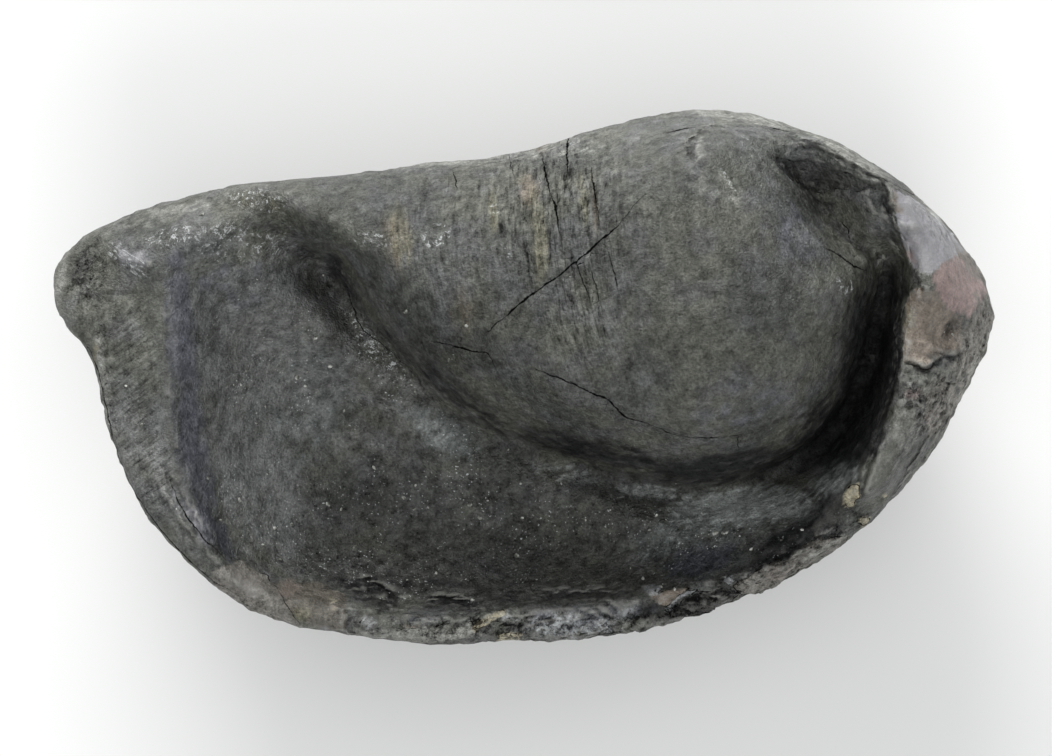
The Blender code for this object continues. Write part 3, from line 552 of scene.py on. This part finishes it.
def carved_places(centres, normals):
    """Faces near a step or a groove, and those of rough places."""
    lines = [entry[0] for entry in [*STEPS.values(), *GROOVES.values()]]
    chosen = np.zeros(len(centres), bool)
    for line in lines:
        which, distance, _ = near(centres[:, :2], line, CARVED_REACH)
        chosen[which[np.abs(distance) < CARVED_REACH]] = True
    up = np.ones(len(centres))
    chosen |= (zone(centres, up, "broken") > 0.45) | (zone(centres, up, "pitted") > 0.45)
    chosen |= zone(centres, up, "painted_hole_shadow") > 0.3
    return chosen & (normals[:, 2] > 0)


def refine(mesh, choose):
    """Halves the edges of the chosen faces."""
    finer = bmesh.new()
    finer.from_mesh(mesh)
    finer.faces.ensure_lookup_table()
    centres = np.array([face.calc_center_median() for face in finer.faces]) / MM
    normals = np.array([face.normal for face in finer.faces])
    chosen = np.flatnonzero(choose(centres, normals))
    edges = list({edge for index in chosen for edge in finer.faces[index].edges})
    bmesh.ops.subdivide_edges(finer, edges=edges, cuts=1, use_grid_fill=True)
    bmesh.ops.triangulate(finer, faces=[face for face in finer.faces if len(face.verts) > 4])
    finer.to_mesh(mesh)
    finer.free()


def plain_mesh(piece):
    """The piece as its modifiers leave it, as a mesh of its own."""
    shown = piece.evaluated_get(bpy.context.evaluated_depsgraph_get())
    return bpy.data.meshes.new_from_object(shown)


def points_of(mesh):
    flat = np.empty(len(mesh.vertices) * 3)
    mesh.vertices.foreach_get("co", flat)
    return flat.reshape(-1, 3) / MM


def normals_of(mesh):
    flat = np.empty(len(mesh.vertices) * 3)
    mesh.vertex_normals.foreach_get("vector", flat)
    return flat.reshape(-1, 3)


def push(mesh, amount):
    """Moves the surface along its normals, by millimetres."""
    moved = points_of(mesh) + normals_of(mesh) * amount[:, None]
    mesh.vertices.foreach_set("co", (moved * MM).ravel())
    mesh.update()


def zone(points, up, name):
    """How much each point belongs to a zone of the upper side."""
    total = np.zeros(len(points))
    for x, y, half_x, half_y, turn, amount in ZONES[name]:
        along, across = np.cos(np.radians(turn)), np.sin(np.radians(turn))
        dx, dy = points[:, 0] - x, points[:, 1] - y
        u, v = (dx * along + dy * across) / half_x, (dy * along - dx * across) / half_y
        total = np.maximum(total, amount * np.exp(-((u * u + v * v) ** 1.5)))
    return total * up


def bent(points):
    """The places of points, shifted a little so that what is drawn with straight lines looks broken."""
    return points[:, :2] + np.column_stack([stray(points, "piece"), stray(points, "piece, across")])


def wall_top(points):
    """1 on the rear wall, outside the crisp edges of the scar and of the wall, and 0 inside them."""
    outside = np.zeros(len(points))
    nearest = np.full(len(points), 1e9)
    for name in ("edge of the scar", "edge of the rear wall"):
        which, distance, _ = near(points[:, :2], STEPS[name][0], WALL_REACH)
        closer = np.abs(distance) < nearest[which]
        which, distance = which[closer], distance[closer]
        nearest[which] = np.abs(distance)
        outside[which] = smoothstep(distance + stray(points[which], "wall"), -0.15, 0.15)
    return outside


def carve(mesh):
    """Broken steps, grooves and pits, which go straight down, and then cracks."""
    points, up = points_of(mesh), smoothstep(normals_of(mesh)[:, 2], -0.1, 0.2)
    places, depth = points[:, :2], np.zeros(len(points))
    for line, fade, lift in STEPS.values():
        which, distance, drop = near(places, line, fade * 1.2)
        right = stray(points[which], "step") - distance
        fading = 1 - smoothstep(np.abs(right), 0, fade)
        depth[which] += drop * fading * ((1 + lift) * smoothstep(right, -STEP_SHARP, STEP_SHARP) - lift)
    for line, half_width in GROOVES.values():
        which, distance, deep = near(places, line, half_width * GROOVE_REACH)
        distance += stray(points[which], "groove")
        width = half_width * (1 + 0.5 * noise(points[which], 1.7, SEED + 13))
        depth[which] += deep * np.exp(-((distance / width) ** 2))
    for x, y, half_x, half_y, deep in PITS:
        r = np.hypot((places[:, 0] - x) / half_x, (places[:, 1] - y) / half_y)
        depth += deep * np.exp(-(r**3))
    places = bent(points)
    for _, lift, corners in PIECES:
        depth -= lift * inside(places, corners, SOFT_LIFT)
    points[:, 2] -= depth * up
    mesh.vertices.foreach_set("co", (points * MM).ravel())
    mesh.update()
    cracked = np.zeros(len(points))
    for line, half_width in CRACKS.values():
        which, distance, deep = crack_near(points, line)
        cracked[which] += CRACK_DEPTH * deep * np.exp(-((distance / half_width) ** 2))
    push(mesh, -cracked * up)


def crack_near(points, line):
    """The points near a crack: which ones, their signed distance to its jagged course, and its depth."""
    which, distance, deep = near(points[:, :2], line, LINE_REACH)
    return which, distance + stray(points[which], "crack"), deep


def fibre_of(points):
    """Where a point lies among the fibres: across them, along them, and up. On the roll they run down
    it and bend to the rear at its foot, on the strip outside the scar they follow its edge, and at the
    front end they slant together towards the rear."""
    x, y, z = points.T
    across, along = x - 0.012 * np.maximum(16 - y, 0) ** 2, y
    strip = (x > 15) & (y > 14)
    across = np.where(strip, 0.5 * x + 0.87 * y, across)
    along = np.where(strip, 0.87 * x - 0.5 * y, along)
    turn = np.where(y > 8, -0.6, 0.6)
    across = np.where(x < -31, 0.8 * y - turn * x, across)
    along = np.where(x < -31, 0.8 * x + turn * y, along)
    return np.column_stack([across, along, z])


def relief(name, places, octaves=1, shape=noise):
    """One kind of weathering, as a height in millimetres."""
    height, size = RELIEF[name]
    return height * shape(places, size, SEED + 1 + list(RELIEF).index(name), octaves)


def chipped(places, size, seed, _):
    return facets(places, size, seed)


def dug(places, size, seed, octaves):
    """Only downwards: flat ground with hollows in it."""
    return -smoothstep(noise(places, size, seed, octaves), 0.0, 0.6)


def weather(mesh):
    """Lumps, wrinkles, fibres and grain of old petrified bone, chipped into flats where it is broken."""
    points, normals = points_of(mesh), normals_of(mesh)
    up = smoothstep(normals[:, 2], -0.1, 0.2)
    broken, hollow, fibrous = (zone(points, up, name) for name in ("broken", "hollow", "fibrous"))
    wrinkled, pitted = zone(points, up, "wrinkled"), zone(points, up, "pitted")
    side = 1 - smoothstep(np.abs(normals[:, 2]), 0.15, 0.7)
    fibres = fibre_of(points) * (1, 0.12, 0.1)
    splinters = points * (0.5, 1.5, 1.0) + 0.5 * noise(points, 1.5, SEED + 14)[:, None]
    height = relief("lumps", points, 2) + relief("dents", points, 3) + relief("grit", points, 3)
    height += side * relief("dents of the outer side", points, 3)
    height += wrinkled * relief("wrinkles", wrinkles_of(points), 2, dug)
    height += fibrous * (relief("fibres", fibres, 2) + relief("cords of fibre", fibres))
    height += hollow * relief("crust of the hollow", points, 3)
    height += broken * (relief("flats", splinters, 1, chipped) + relief("small flats", splinters, 1, chipped))
    height += broken * relief("splinters", points, 2)
    height += pitted * relief("pits", points, 3, dug)
    push(mesh, height)


def wrinkles_of(points):
    """Where a point lies among the wrinkles of the front end, which slant up to the rear."""
    x, y, z = points.T
    return np.column_stack([0.3 * (0.8 * x + 0.6 * y), 1.1 * (0.8 * y - 0.6 * x), 0.5 * z])


def curvature(mesh):
    """How sharply the surface bulges, or hollows where it is negative, from each point's neighbours, in
    1/mm."""
    points, normals = points_of(mesh), normals_of(mesh)
    ends = np.empty(len(mesh.edges) * 2, int)
    mesh.edges.foreach_get("vertices", ends)
    a, b = ends.reshape(-1, 2).T
    count = np.maximum(np.bincount(ends, minlength=len(points)), 1)
    spans = points[a] - points[b]
    squares = np.maximum((spans**2).sum(axis=1), 1e-6)
    bulge = np.bincount(a, 2 * (spans * normals[a]).sum(axis=1) / squares, len(points))
    bulge -= np.bincount(b, 2 * (spans * normals[b]).sum(axis=1) / squares, len(points))
    bulge /= count
    for _ in range(3):
        around = (np.bincount(a, bulge[b], len(points)) + np.bincount(b, bulge[a], len(points))) / count
        bulge = 0.5 * bulge + 0.5 * around
    return bulge


def crack_lines(points, places, up):
    """Signed distance to the nearest crack in millimetres, and how dark the crack is there. Both change
    evenly over a face, so a line finer than the mesh stays crisp."""
    side, dark = np.full(len(points), LINE_REACH), np.zeros(len(points))
    for line, half_width in CRACKS.values():
        which, distance, deep = crack_near(points, line)
        distance *= CRACK_USUAL / half_width
        closer = np.abs(distance) < np.abs(side[which])
        side[which[closer]], dark[which[closer]] = distance[closer], deep[closer]
    open_joint = JOINT_DARK * smoothstep(noise(points, 1.6, SEED + 18, 2), -0.3, 0.3)
    for corners in [corners for _, lift, corners in PIECES if lift]:
        which, distance = to_edge(places, corners, LINE_REACH)
        closer = np.abs(distance) < np.abs(side[which])
        side[which[closer]], dark[which[closer]] = distance[closer], open_joint[which[closer]]
    return side, dark * up


def stained(points, share, name):
    """How strong a stain is where its zone has this share, with a ragged edge."""
    _, strength, edge, soft = STAINS[name]
    which = np.flatnonzero(share > 0.01)
    places = fibre_of(points[which]) * (1, 0.1, 0.2) if name in ("ochre", "rust") else points[which]
    ragged = 0.45 * noise(places, edge, SEED + 30 + list(STAINS).index(name), 3)
    raw = share[which] + ragged * smoothstep(share[which], 0, 0.3)
    strong = np.zeros(len(points))
    strong[which] = strength * smoothstep(raw, 0.5 - soft, 0.5 + soft)
    return strong


def mottle(points, rugged):
    """Slow changes of shade over the bone, with blotches that end sharply, more so where it is rugged."""
    (strong, size), (small_strong, small_size) = CLOUDS, SMALL_CLOUDS
    shade = 1 + strong * noise(points, size, SEED + 61, 3)
    shade += small_strong * noise(points, small_size, SEED + 62, 3)
    blotch = noise(points, BLOTCH, SEED + 63, 3)
    patches = smoothstep(blotch, 0.15, 0.3) - 1.2 * smoothstep(-blotch, 0.15, 0.35)
    return shade + (0.2 + 0.3 * rugged) * patches


def paint(mesh):
    """Keeps stains, cracks, painted light and shade, worn edges with a painted highlight and painted shade in
    pits, as attributes.
    """
    points = points_of(mesh)
    up = smoothstep(normals_of(mesh)[:, 2], -0.3, 0.1)
    masks = {name: zone(points, up, name) for name in ZONES}
    places = bent(points)
    facing = smoothstep(normals_of(mesh)[:, 2], 0.0, 0.3)
    for name, _, corners in PIECES:
        masks[name] = np.maximum(masks[name], inside(places, corners, SOFT_STAIN) * facing)
    # The crisp edges of the rear wall part its own colours from the painted shade and the hollow's dark
    # inside them.
    top = wall_top(points)
    for name in ("painted_furrow_shade", "hollow", "painted_hole_shadow", "dark_blue_and_painted_shade"):
        masks[name] *= 1 - top * (points[:, 0] > DARK_ENDS_FROM)
    for name in ("lavender", "red", "tan"):
        masks[name] *= np.where(points[:, 0] > WALL_COLOURS_FROM, top, 1)
    for name in STAINS:
        masks[name] = stained(points, masks[name], name)
    rugged = np.clip(masks["broken"] + masks["pitted"] + 0.5 * masks["hollow"], 0, 1)
    # The mottled tone, with painted light in the lit zones and painted shade in the dim ones.
    masks["mottle"] = mottle(points, rugged) * (1 + PAINTED_LIGHT_AND_SHADE * (masks["painted_light"] - masks["painted_shade"]))
    masks["smooth"] = np.max([masks["lavender"], 0.7 * masks["red"], 0.4 * masks["tan"]], axis=0)
    masks["earthy"] = smoothstep(noise(points, 7.0, SEED + 64, 3), -0.4, 0.4)
    masks["slaty"] = 0.45 * smoothstep(noise(points, 3.0, SEED + 65, 3), 0.0, 0.5)
    masks["crack_side"], masks["crack_dark"] = crack_lines(points, places, up)
    by_crack = 1 - smoothstep(np.abs(masks["crack_side"]), *CRACK_LIPS) * (masks["crack_dark"] > 0)
    bulge = curvature(mesh) * np.where(masks["crack_dark"] > 0.05, 1 - by_crack, 1)
    # Paler on bulges, partly wear and partly a painted highlight, and painted shade in hollows, less of it in
    # the lit zones.
    masks["worn"] = np.clip(bulge / BULGE, 0, 1)
    masks["painted_crease_shade"] = np.clip(-bulge / BULGE, 0, 1) * (1 - 0.5 * masks["pitted"]) * (1 - 0.5 * masks["painted_light"])
    for name, values in masks.items():
        attribute = mesh.attributes.new(name, "FLOAT", "POINT")
        attribute.data.foreach_set("value", values.astype(np.float32))
    attribute = mesh.attributes.new("fibre", "FLOAT_VECTOR", "POINT")
    attribute.data.foreach_set("vector", (fibre_of(points) * MM).astype(np.float32).ravel())


def linear(colour):
    """An sRGB hex colour as linear red, green, blue and alpha."""
    shares = [int(colour[i : i + 2], 16) / 255 for i in (1, 3, 5)]
    return [v / 12.92 if v <= 0.04045 else ((v + 0.055) / 1.055) ** 2.4 for v in shares] + [1.0]


def add(tree, kind, inputs=None, **settings):
    """Adds a node with its settings, and its inputs' values or the sockets linked to them."""
    node = tree.nodes.new(kind)
    for name, value in settings.items():
        setattr(node, name, value)
    for name, value in (inputs or {}).items():
        if isinstance(value, bpy.types.NodeSocket):
            tree.links.new(value, node.inputs[name])
        else:
            node.inputs[name].default_value = value
    return node


def per(size):
    """Texture scale for a pattern of this size in millimetres."""
    return 1 / (size * MM)


def petrified_bone():
    """Petrified bone, river-worn: dark grey-green phosphate with mineral stains. Smooth parts take a
    dull polish, and broken ones stay rough and paler, so the eye sees worn stone with fresh breaks."""
    material = bpy.data.materials.new("petrified_bone")
    material.use_nodes = True
    tree = material.node_tree
    shader = tree.nodes["Principled BSDF"]
    where = add(tree, "ShaderNodeTexCoord").outputs["Object"]
    fibre = add(tree, "ShaderNodeAttribute", attribute_name="fibre").outputs["Vector"]

    def pattern(name, detail=3.0, roughness=0.55, vector=where, **more):
        scale = per(FINE[name])
        settings = {"Vector": vector, "Scale": scale, "Detail": detail, "Roughness": roughness, **more}
        return add(tree, "ShaderNodeTexNoise", settings).outputs["Fac"]

    def stretched(vector, scale):
        return add(tree, "ShaderNodeMapping", {"Vector": vector, "Scale": scale}).outputs["Vector"]

    def spread(value, low, high, to_low=0.0, to_high=1.0):
        inputs = {"Value": value, "From Min": low, "From Max": high, "To Min": to_low, "To Max": to_high}
        return add(tree, "ShaderNodeMapRange", inputs).outputs["Result"]

    def swing(noisy, low, high):
        """Spreads the usual range of a noise over these limits."""
        return spread(noisy, 0.3, 0.7, low, high)

    def maths(operation, a, b=0.0):
        return add(tree, "ShaderNodeMath", {0: a, 1: b}, operation=operation).outputs["Value"]

    def mask(name):
        return add(tree, "ShaderNodeAttribute", attribute_name=name).outputs["Fac"]

    def mixed(factor, a, b, blend="MIX"):
        node = add(tree, "ShaderNodeMix", {0: factor, 6: a, 7: b}, data_type="RGBA", blend_type=blend)
        return node.outputs[2]

    grain = pattern("grain", 3.0, 0.7)
    rock = pattern("rock", 4.0, 0.72, Distortion=0.5)
    along = pattern("fibre", 3.0, 0.65, stretched(fibre, (1.0, 0.16, 0.2)))
    speck = pattern("specks", 1.0)
    flattened = stretched(where, (0.6, 1.0, 1.0))
    cells = add(tree, "ShaderNodeTexVoronoi", {"Vector": flattened, "Scale": per(FINE["chips"])})
    chips = add(tree, "ShaderNodeSeparateColor", {"Color": cells.outputs["Color"]}).outputs["Red"]
    fibrous, broken, pitted, sheen_and_painted_glints = mask("fibrous"), mask("broken"), mask("pitted"), mask("sheen_and_painted_glints")
    even = spread(mask("smooth"), 0.0, 1.0, 1.0, 0.25)

    # Wavy threads, the contour lines of a distorted noise, and fissures between the fibres.
    contour = maths("ABSOLUTE", maths("SUBTRACT", pattern("threads", 3.0, 0.6, Distortion=0.9), 0.5))
    threads = maths("MULTIPLY", spread(contour, 0.0, 0.035, 1.0, 0.0), spread(rock, 0.48, 0.58))
    long_waves = pattern("fissures", 2.0, 0.5, stretched(fibre, (1.0, 0.06, 0.2)))
    strand = maths("ABSOLUTE", maths("SUBTRACT", long_waves, 0.5))
    fissured = maths("MULTIPLY", fibrous, spread(rock, 0.6, 0.4))
    fissures = maths("MULTIPLY", spread(strand, 0.0, 0.022, 1.0, 0.0), fissured)

    colour = mixed(mask("earthy"), linear(BONE["olive"]), linear(BONE["earthy"]))
    colour = mixed(mask("slaty"), colour, linear(BONE["slaty"]))
    for name, (hex_colour, *_) in STAINS.items():
        colour = mixed(mask(name), colour, linear(hex_colour))

    # Light and dark: grain and rock everywhere, streaks and fissures where it is fibrous, splits and chips
    # where it is broken, and specks most where it is rough.
    shade = maths("MULTIPLY", mask("mottle"), swing(grain, 0.62, 1.38))
    shade = maths("MULTIPLY", shade, swing(rock, 0.68, 1.32))
    streaky = maths("MULTIPLY", swing(along, -0.75, 0.75), fibrous)
    shade = maths("MULTIPLY", shade, maths("ADD", streaky, 1.0))
    shade = maths("ADD", shade, maths("MULTIPLY", threads, 0.12))
    shade = maths("SUBTRACT", shade, maths("MULTIPLY", fissures, 0.7))
    splits = maths("MULTIPLY", spread(contour, 0.0, 0.03, 0.9, 0.0), broken)
    shade = maths("SUBTRACT", shade, splits)
    specks = maths("SUBTRACT", spread(speck, 0.61, 0.67), spread(speck, 0.39, 0.33))
    crusted = maths("MULTIPLY", mask("hollow"), 0.5)
    specked = spread(maths("ADD", maths("ADD", broken, pitted), crusted), 0, 1, 0.2, 0.8)
    shade = maths("ADD", shade, maths("MULTIPLY", specks, specked))
    shade = maths("ADD", shade, maths("MULTIPLY", spread(chips, 0, 1, -0.8, 0.8), broken))
    shade = maths("ADD", maths("MULTIPLY", maths("SUBTRACT", shade, 1.0), even), 1.0)
    shade = maths("MAXIMUM", shade, 0.12)
    grey = add(tree, "ShaderNodeCombineColor", {"Red": shade, "Green": shade, "Blue": shade}).outputs["Color"]
    colour = mixed(1.0, colour, grey, "MULTIPLY")
    # Worn edges: paler, partly by wear and partly by a painted highlight. Creases and pits: painted shade.
    colour = mixed(spread(mask("worn"), 0.06, 0.8, 0, 0.5), colour, linear(BONE["worn"]))
    colour = mixed(spread(mask("painted_crease_shade"), 0.08, 1.0, 0, 0.75), colour, linear(BONE["painted_crease_shade"]))

    # Glints: painted highlights, near-white colour where clean crystal faces would catch the light, and much
    # smoother than the bone. They lie in specks in the hollow, in short curls where the bone has a sheen, and
    # in streaks on a few edges.
    painted_glint_curls = maths("MULTIPLY", spread(contour, 0.0, 0.06, 1.0, 0.0), spread(rock, 0.53, 0.57))
    painted_glints = maths("MULTIPLY", spread(speck, 0.70, 0.72), spread(mask("grit"), 0.1, 0.5))
    painted_glints = maths("MAXIMUM", painted_glints, maths("MULTIPLY", painted_glint_curls, spread(sheen_and_painted_glints, 0.3, 0.7)))
    painted_glint_streaks = maths("MULTIPLY", spread(strand, 0.0, 0.03, 0.7, 0.0), spread(mask("painted_highlight_streaks"), 0.3, 0.6))
    painted_glint_streaks = maths("MULTIPLY", painted_glint_streaks, spread(rock, 0.46, 0.54))
    painted_glints = maths("MAXIMUM", painted_glints, painted_glint_streaks)
    colour = mixed(maths("MULTIPLY", painted_glints, 0.95), colour, linear(BONE["painted_glint"]))

    # Cracks: a dark line where the signed distance passes zero, its width wandering.
    off = maths("ABSOLUTE", maths("ADD", mask("crack_side"), swing(grain, -0.03, 0.03)))
    half = maths("MULTIPLY", mask("crack_dark"), spread(rock, 0.38, 0.62, 0.03, 0.14))
    within = spread(maths("SUBTRACT", off, half), -0.03, 0.03, 1.0, 0.0)
    line = maths("MULTIPLY", within, spread(half, 0.0, 0.03))
    colour = mixed(maths("MULTIPLY", line, 0.96), colour, linear(BONE["crack"]))
    tree.links.new(colour, shader.inputs["Base Color"])

    # Gloss: a dull polish, less of it in what is broken, in cracks, and where the furrow has painted shade.
    furrow_shade_and_cracks = maths("MAXIMUM", maths("MULTIPLY", mask("painted_furrow_shade"), 0.7), line)
    rough = swing(rock, 0.36, 0.66)
    rough = maths("SUBTRACT", rough, maths("MULTIPLY", sheen_and_painted_glints, 0.15))
    rough = maths("ADD", rough, maths("MULTIPLY", broken, 0.10))
    rough = maths("SUBTRACT", rough, maths("MULTIPLY", painted_glints, 0.25))
    rough = maths("ADD", rough, maths("MULTIPLY", furrow_shade_and_cracks, 0.3))
    tree.links.new(maths("MAXIMUM", rough, 0.12), shader.inputs["Roughness"])
    shine = maths("MULTIPLY", maths("MULTIPLY", shade, 0.5), maths("SUBTRACT", 1.0, furrow_shade_and_cracks))
    tree.links.new(maths("MINIMUM", shine, 1.0), shader.inputs["Specular IOR Level"])
    shader.inputs["IOR"].default_value = 1.56
    shader.inputs["Metallic"].default_value = 0

    # Relief too fine for the mesh.
    rugged = maths("ADD", maths("ADD", broken, pitted), maths("ADD", mask("hollow"), 1.3))
    height = maths("ADD", grain, maths("MULTIPLY", rock, rugged))
    height = maths("ADD", height, maths("MULTIPLY", maths("MULTIPLY", along, 1.5), fibrous))
    height = maths("ADD", height, maths("MULTIPLY", chips, maths("MULTIPLY", broken, 2.5)))
    height = maths("MULTIPLY", height, even)
    bump = add(tree, "ShaderNodeBump", {"Height": height, "Strength": 0.9, "Distance": 0.26 * MM})
    tree.links.new(bump.outputs["Normal"], shader.inputs["Normal"])
    return material


def mineral_sand():
    """Mineral sand, quartz and pyrite, broken and stuck in the hollow: glassy and pale where its faces are
    clean, so it glints."""
    material = bpy.data.materials.new("mineral_sand")
    material.use_nodes = True
    tree = material.node_tree
    shader = tree.nodes["Principled BSDF"]
    where = add(tree, "ShaderNodeTexCoord").outputs["Object"]
    patches = add(tree, "ShaderNodeTexNoise", {"Vector": where, "Scale": per(SAND_PATCH), "Detail": 2.0})
    limits = {"Value": patches.outputs["Fac"], "From Min": 0.4, "From Max": 0.66}
    shade = add(tree, "ShaderNodeMapRange", limits).outputs["Result"]
    dull, clean = (linear(colour) for colour in SAND_COLOURS)
    colour = add(tree, "ShaderNodeMix", {0: shade, 6: dull, 7: clean}, data_type="RGBA")
    tree.links.new(colour.outputs[2], shader.inputs["Base Color"])
    shader.inputs["Roughness"].default_value = 0.2
    shader.inputs["IOR"].default_value = 1.6
    return material


def grain_tree(surface, material):
    """Scatters small stones over the surface, half sunk in it, by the surface's own grit attribute."""
    tree = bpy.data.node_groups.new("scattered_grains", "GeometryNodeTree")
    for name, kind, value in (
        ("Per Square Metre", "NodeSocketFloat", 1e6), ("Smallest", "NodeSocketFloat", 0.06 * MM),
        ("Largest", "NodeSocketFloat", 0.2 * MM), ("Seed", "NodeSocketInt", SEED),
    ):  # fmt: skip
        tree.interface.new_socket(name, in_out="INPUT", socket_type=kind).default_value = value
    tree.interface.new_socket("Geometry", in_out="OUTPUT", socket_type="NodeSocketGeometry")
    sizes = add(tree, "NodeGroupInput")
    bone = add(tree, "GeometryNodeObjectInfo", {"Object": surface})
    grit = add(tree, "GeometryNodeInputNamedAttribute", {"Name": "grit"}, data_type="FLOAT")
    points = add(tree, "GeometryNodeDistributePointsOnFaces", {"Mesh": bone.outputs["Geometry"]})
    density = add(
        tree, "ShaderNodeMath", {0: grit.outputs["Attribute"], 1: sizes.outputs["Per Square Metre"]},
        operation="MULTIPLY",
    )  # fmt: skip
    tree.links.new(density.outputs["Value"], points.inputs["Density"])
    tree.links.new(sizes.outputs["Seed"], points.inputs["Seed"])
    ball = add(tree, "GeometryNodeMeshIcoSphere", {"Radius": 1.0, "Subdivisions": 1})
    stone = add(tree, "GeometryNodeTransform", {"Geometry": ball.outputs["Mesh"], "Scale": SAND_SHAPE})
    turn = add(
        tree, "FunctionNodeRandomValue",
        {"Min": (0.0, 0.0, 0.0), "Max": (6.283, 6.283, 6.283), "Seed": sizes.outputs["Seed"]},
        data_type="FLOAT_VECTOR",
    )  # fmt: skip
    chance = add(
        tree, "FunctionNodeRandomValue", {2: 0.0, 3: 1.0, "Seed": sizes.outputs["Seed"]}, data_type="FLOAT"
    )
    few_large = add(tree, "ShaderNodeMath", {0: chance.outputs[1], 1: SAND_POWER}, operation="POWER")
    size = add(
        tree, "ShaderNodeMapRange",
        {"Value": few_large.outputs["Value"],
         "To Min": sizes.outputs["Smallest"], "To Max": sizes.outputs["Largest"]},
    )  # fmt: skip
    placed = add(
        tree, "GeometryNodeInstanceOnPoints",
        {"Points": points.outputs["Points"], "Instance": stone.outputs["Geometry"],
         "Rotation": turn.outputs[0], "Scale": size.outputs["Result"]},
    )  # fmt: skip
    real = add(tree, "GeometryNodeRealizeInstances", {"Geometry": placed.outputs["Instances"]})
    coated = {"Geometry": real.outputs["Geometry"], "Material": material}
    finished = add(tree, "GeometryNodeSetMaterial", coated)
    add(tree, "NodeGroupOutput", {"Geometry": finished.outputs["Geometry"]})
    return tree


def scatter(name, surface, material, **values):
    """A piece of scattered grains, as a plain mesh."""
    piece = bpy.data.objects.new(name, bpy.data.meshes.new(name))
    bpy.context.scene.collection.objects.link(piece)
    modifier = piece.modifiers.new("grains", "NODES")
    modifier.node_group = grain_tree(surface, material)
    identifiers = {item.name: item.identifier for item in modifier.node_group.interface.items_tree}
    for socket, value in values.items():
        modifier[identifiers[socket.replace("_", " ")]] = value
    piece.data = plain_mesh(piece)
    piece.modifiers.clear()
    return piece


def add_grit(mesh):
    """Where sand sticks: in patches of the hollow, and a little in its front."""
    points = points_of(mesh)
    up = smoothstep(normals_of(mesh)[:, 2], 0.2, 0.6)
    grit = sum(share * zone(points, up, name) for name, share in GRITTY.items())
    patchy = smoothstep(noise(points, 4.0, SEED + 20, 2), -0.3, 0.6)
    attribute = mesh.attributes.new("grit", "FLOAT", "POINT")
    attribute.data.foreach_set("value", np.clip(grit * (0.25 + patchy), 0, 1).astype(np.float32))


def studio():
    """A pale floor, a soft key light from behind the bone, a soft one overhead, and the camera above."""
    floor_mesh = bpy.data.meshes.new("floor")
    half = FLOOR * MM
    corners = [(-half, -half, 0), (half, -half, 0), (half, half, 0), (-half, half, 0)]
    floor_mesh.from_pydata(corners, [], [(0, 1, 2, 3)])
    floor = bpy.data.objects.new("floor", floor_mesh)
    bpy.context.scene.collection.objects.link(floor)
    # Uncoated paper, pale and matt, so it shows the bone's soft shadow and no gloss.
    paper = bpy.data.materials.new("matt_paper")
    paper.use_nodes = True
    paper.node_tree.nodes["Principled BSDF"].inputs["Base Color"].default_value = linear("#dcdcda")
    paper.node_tree.nodes["Principled BSDF"].inputs["Roughness"].default_value = 0.9
    floor_mesh.materials.append(paper)

    middle = Vector((0, 0, 20)) * MM
    for name, (place, size, power) in LIGHTS.items():
        light = bpy.data.lights.new(name, "AREA")
        light.size = size * MM
        light.energy = power
        lamp = bpy.data.objects.new(name, light)
        lamp.location = Vector(place) * MM
        lamp.rotation_mode = "QUATERNION"
        lamp.rotation_quaternion = (middle - lamp.location).to_track_quat("-Z", "Y")
        bpy.context.scene.collection.objects.link(lamp)
    world = bpy.data.worlds.new("studio")
    world.use_nodes = True
    world.node_tree.nodes["Background"].inputs["Color"].default_value = linear("#e8ecf0")
    world.node_tree.nodes["Background"].inputs["Strength"].default_value = 0.5
    bpy.context.scene.world = world

    lens = bpy.data.cameras.new("camera")
    lens.sensor_width, lens.lens = SENSOR, LENS
    camera = bpy.data.objects.new("camera", lens)
    camera.location = Vector(CAMERA) * MM
    lens.clip_end = 10
    bpy.context.scene.collection.objects.link(camera)
    bpy.context.scene.camera = camera
    bpy.context.scene.view_settings.view_transform = "Standard"


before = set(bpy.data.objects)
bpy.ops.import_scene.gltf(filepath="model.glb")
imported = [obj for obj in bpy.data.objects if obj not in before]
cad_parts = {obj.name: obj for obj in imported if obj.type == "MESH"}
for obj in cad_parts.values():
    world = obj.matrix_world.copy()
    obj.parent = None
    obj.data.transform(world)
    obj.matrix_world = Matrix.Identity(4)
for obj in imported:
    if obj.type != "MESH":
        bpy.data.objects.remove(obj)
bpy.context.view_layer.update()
bone = fine_surface()
carve(bone.data)
weather(bone.data)
paint(bone.data)
add_grit(bone.data)
bone.data.materials.clear()
bone.data.materials.append(petrified_bone())
bone.data.shade_smooth()
smallest, largest = (radius * MM for radius in SAND_RADII)
sand = scatter(
    "mineral_grains", bone, mineral_sand(),
    Per_Square_Metre=SAND_DENSITY, Smallest=smallest, Largest=largest, Seed=SEED,
)  # fmt: skip
for piece in (bone, sand):
    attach(piece, "root")
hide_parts(NODE)
studio()
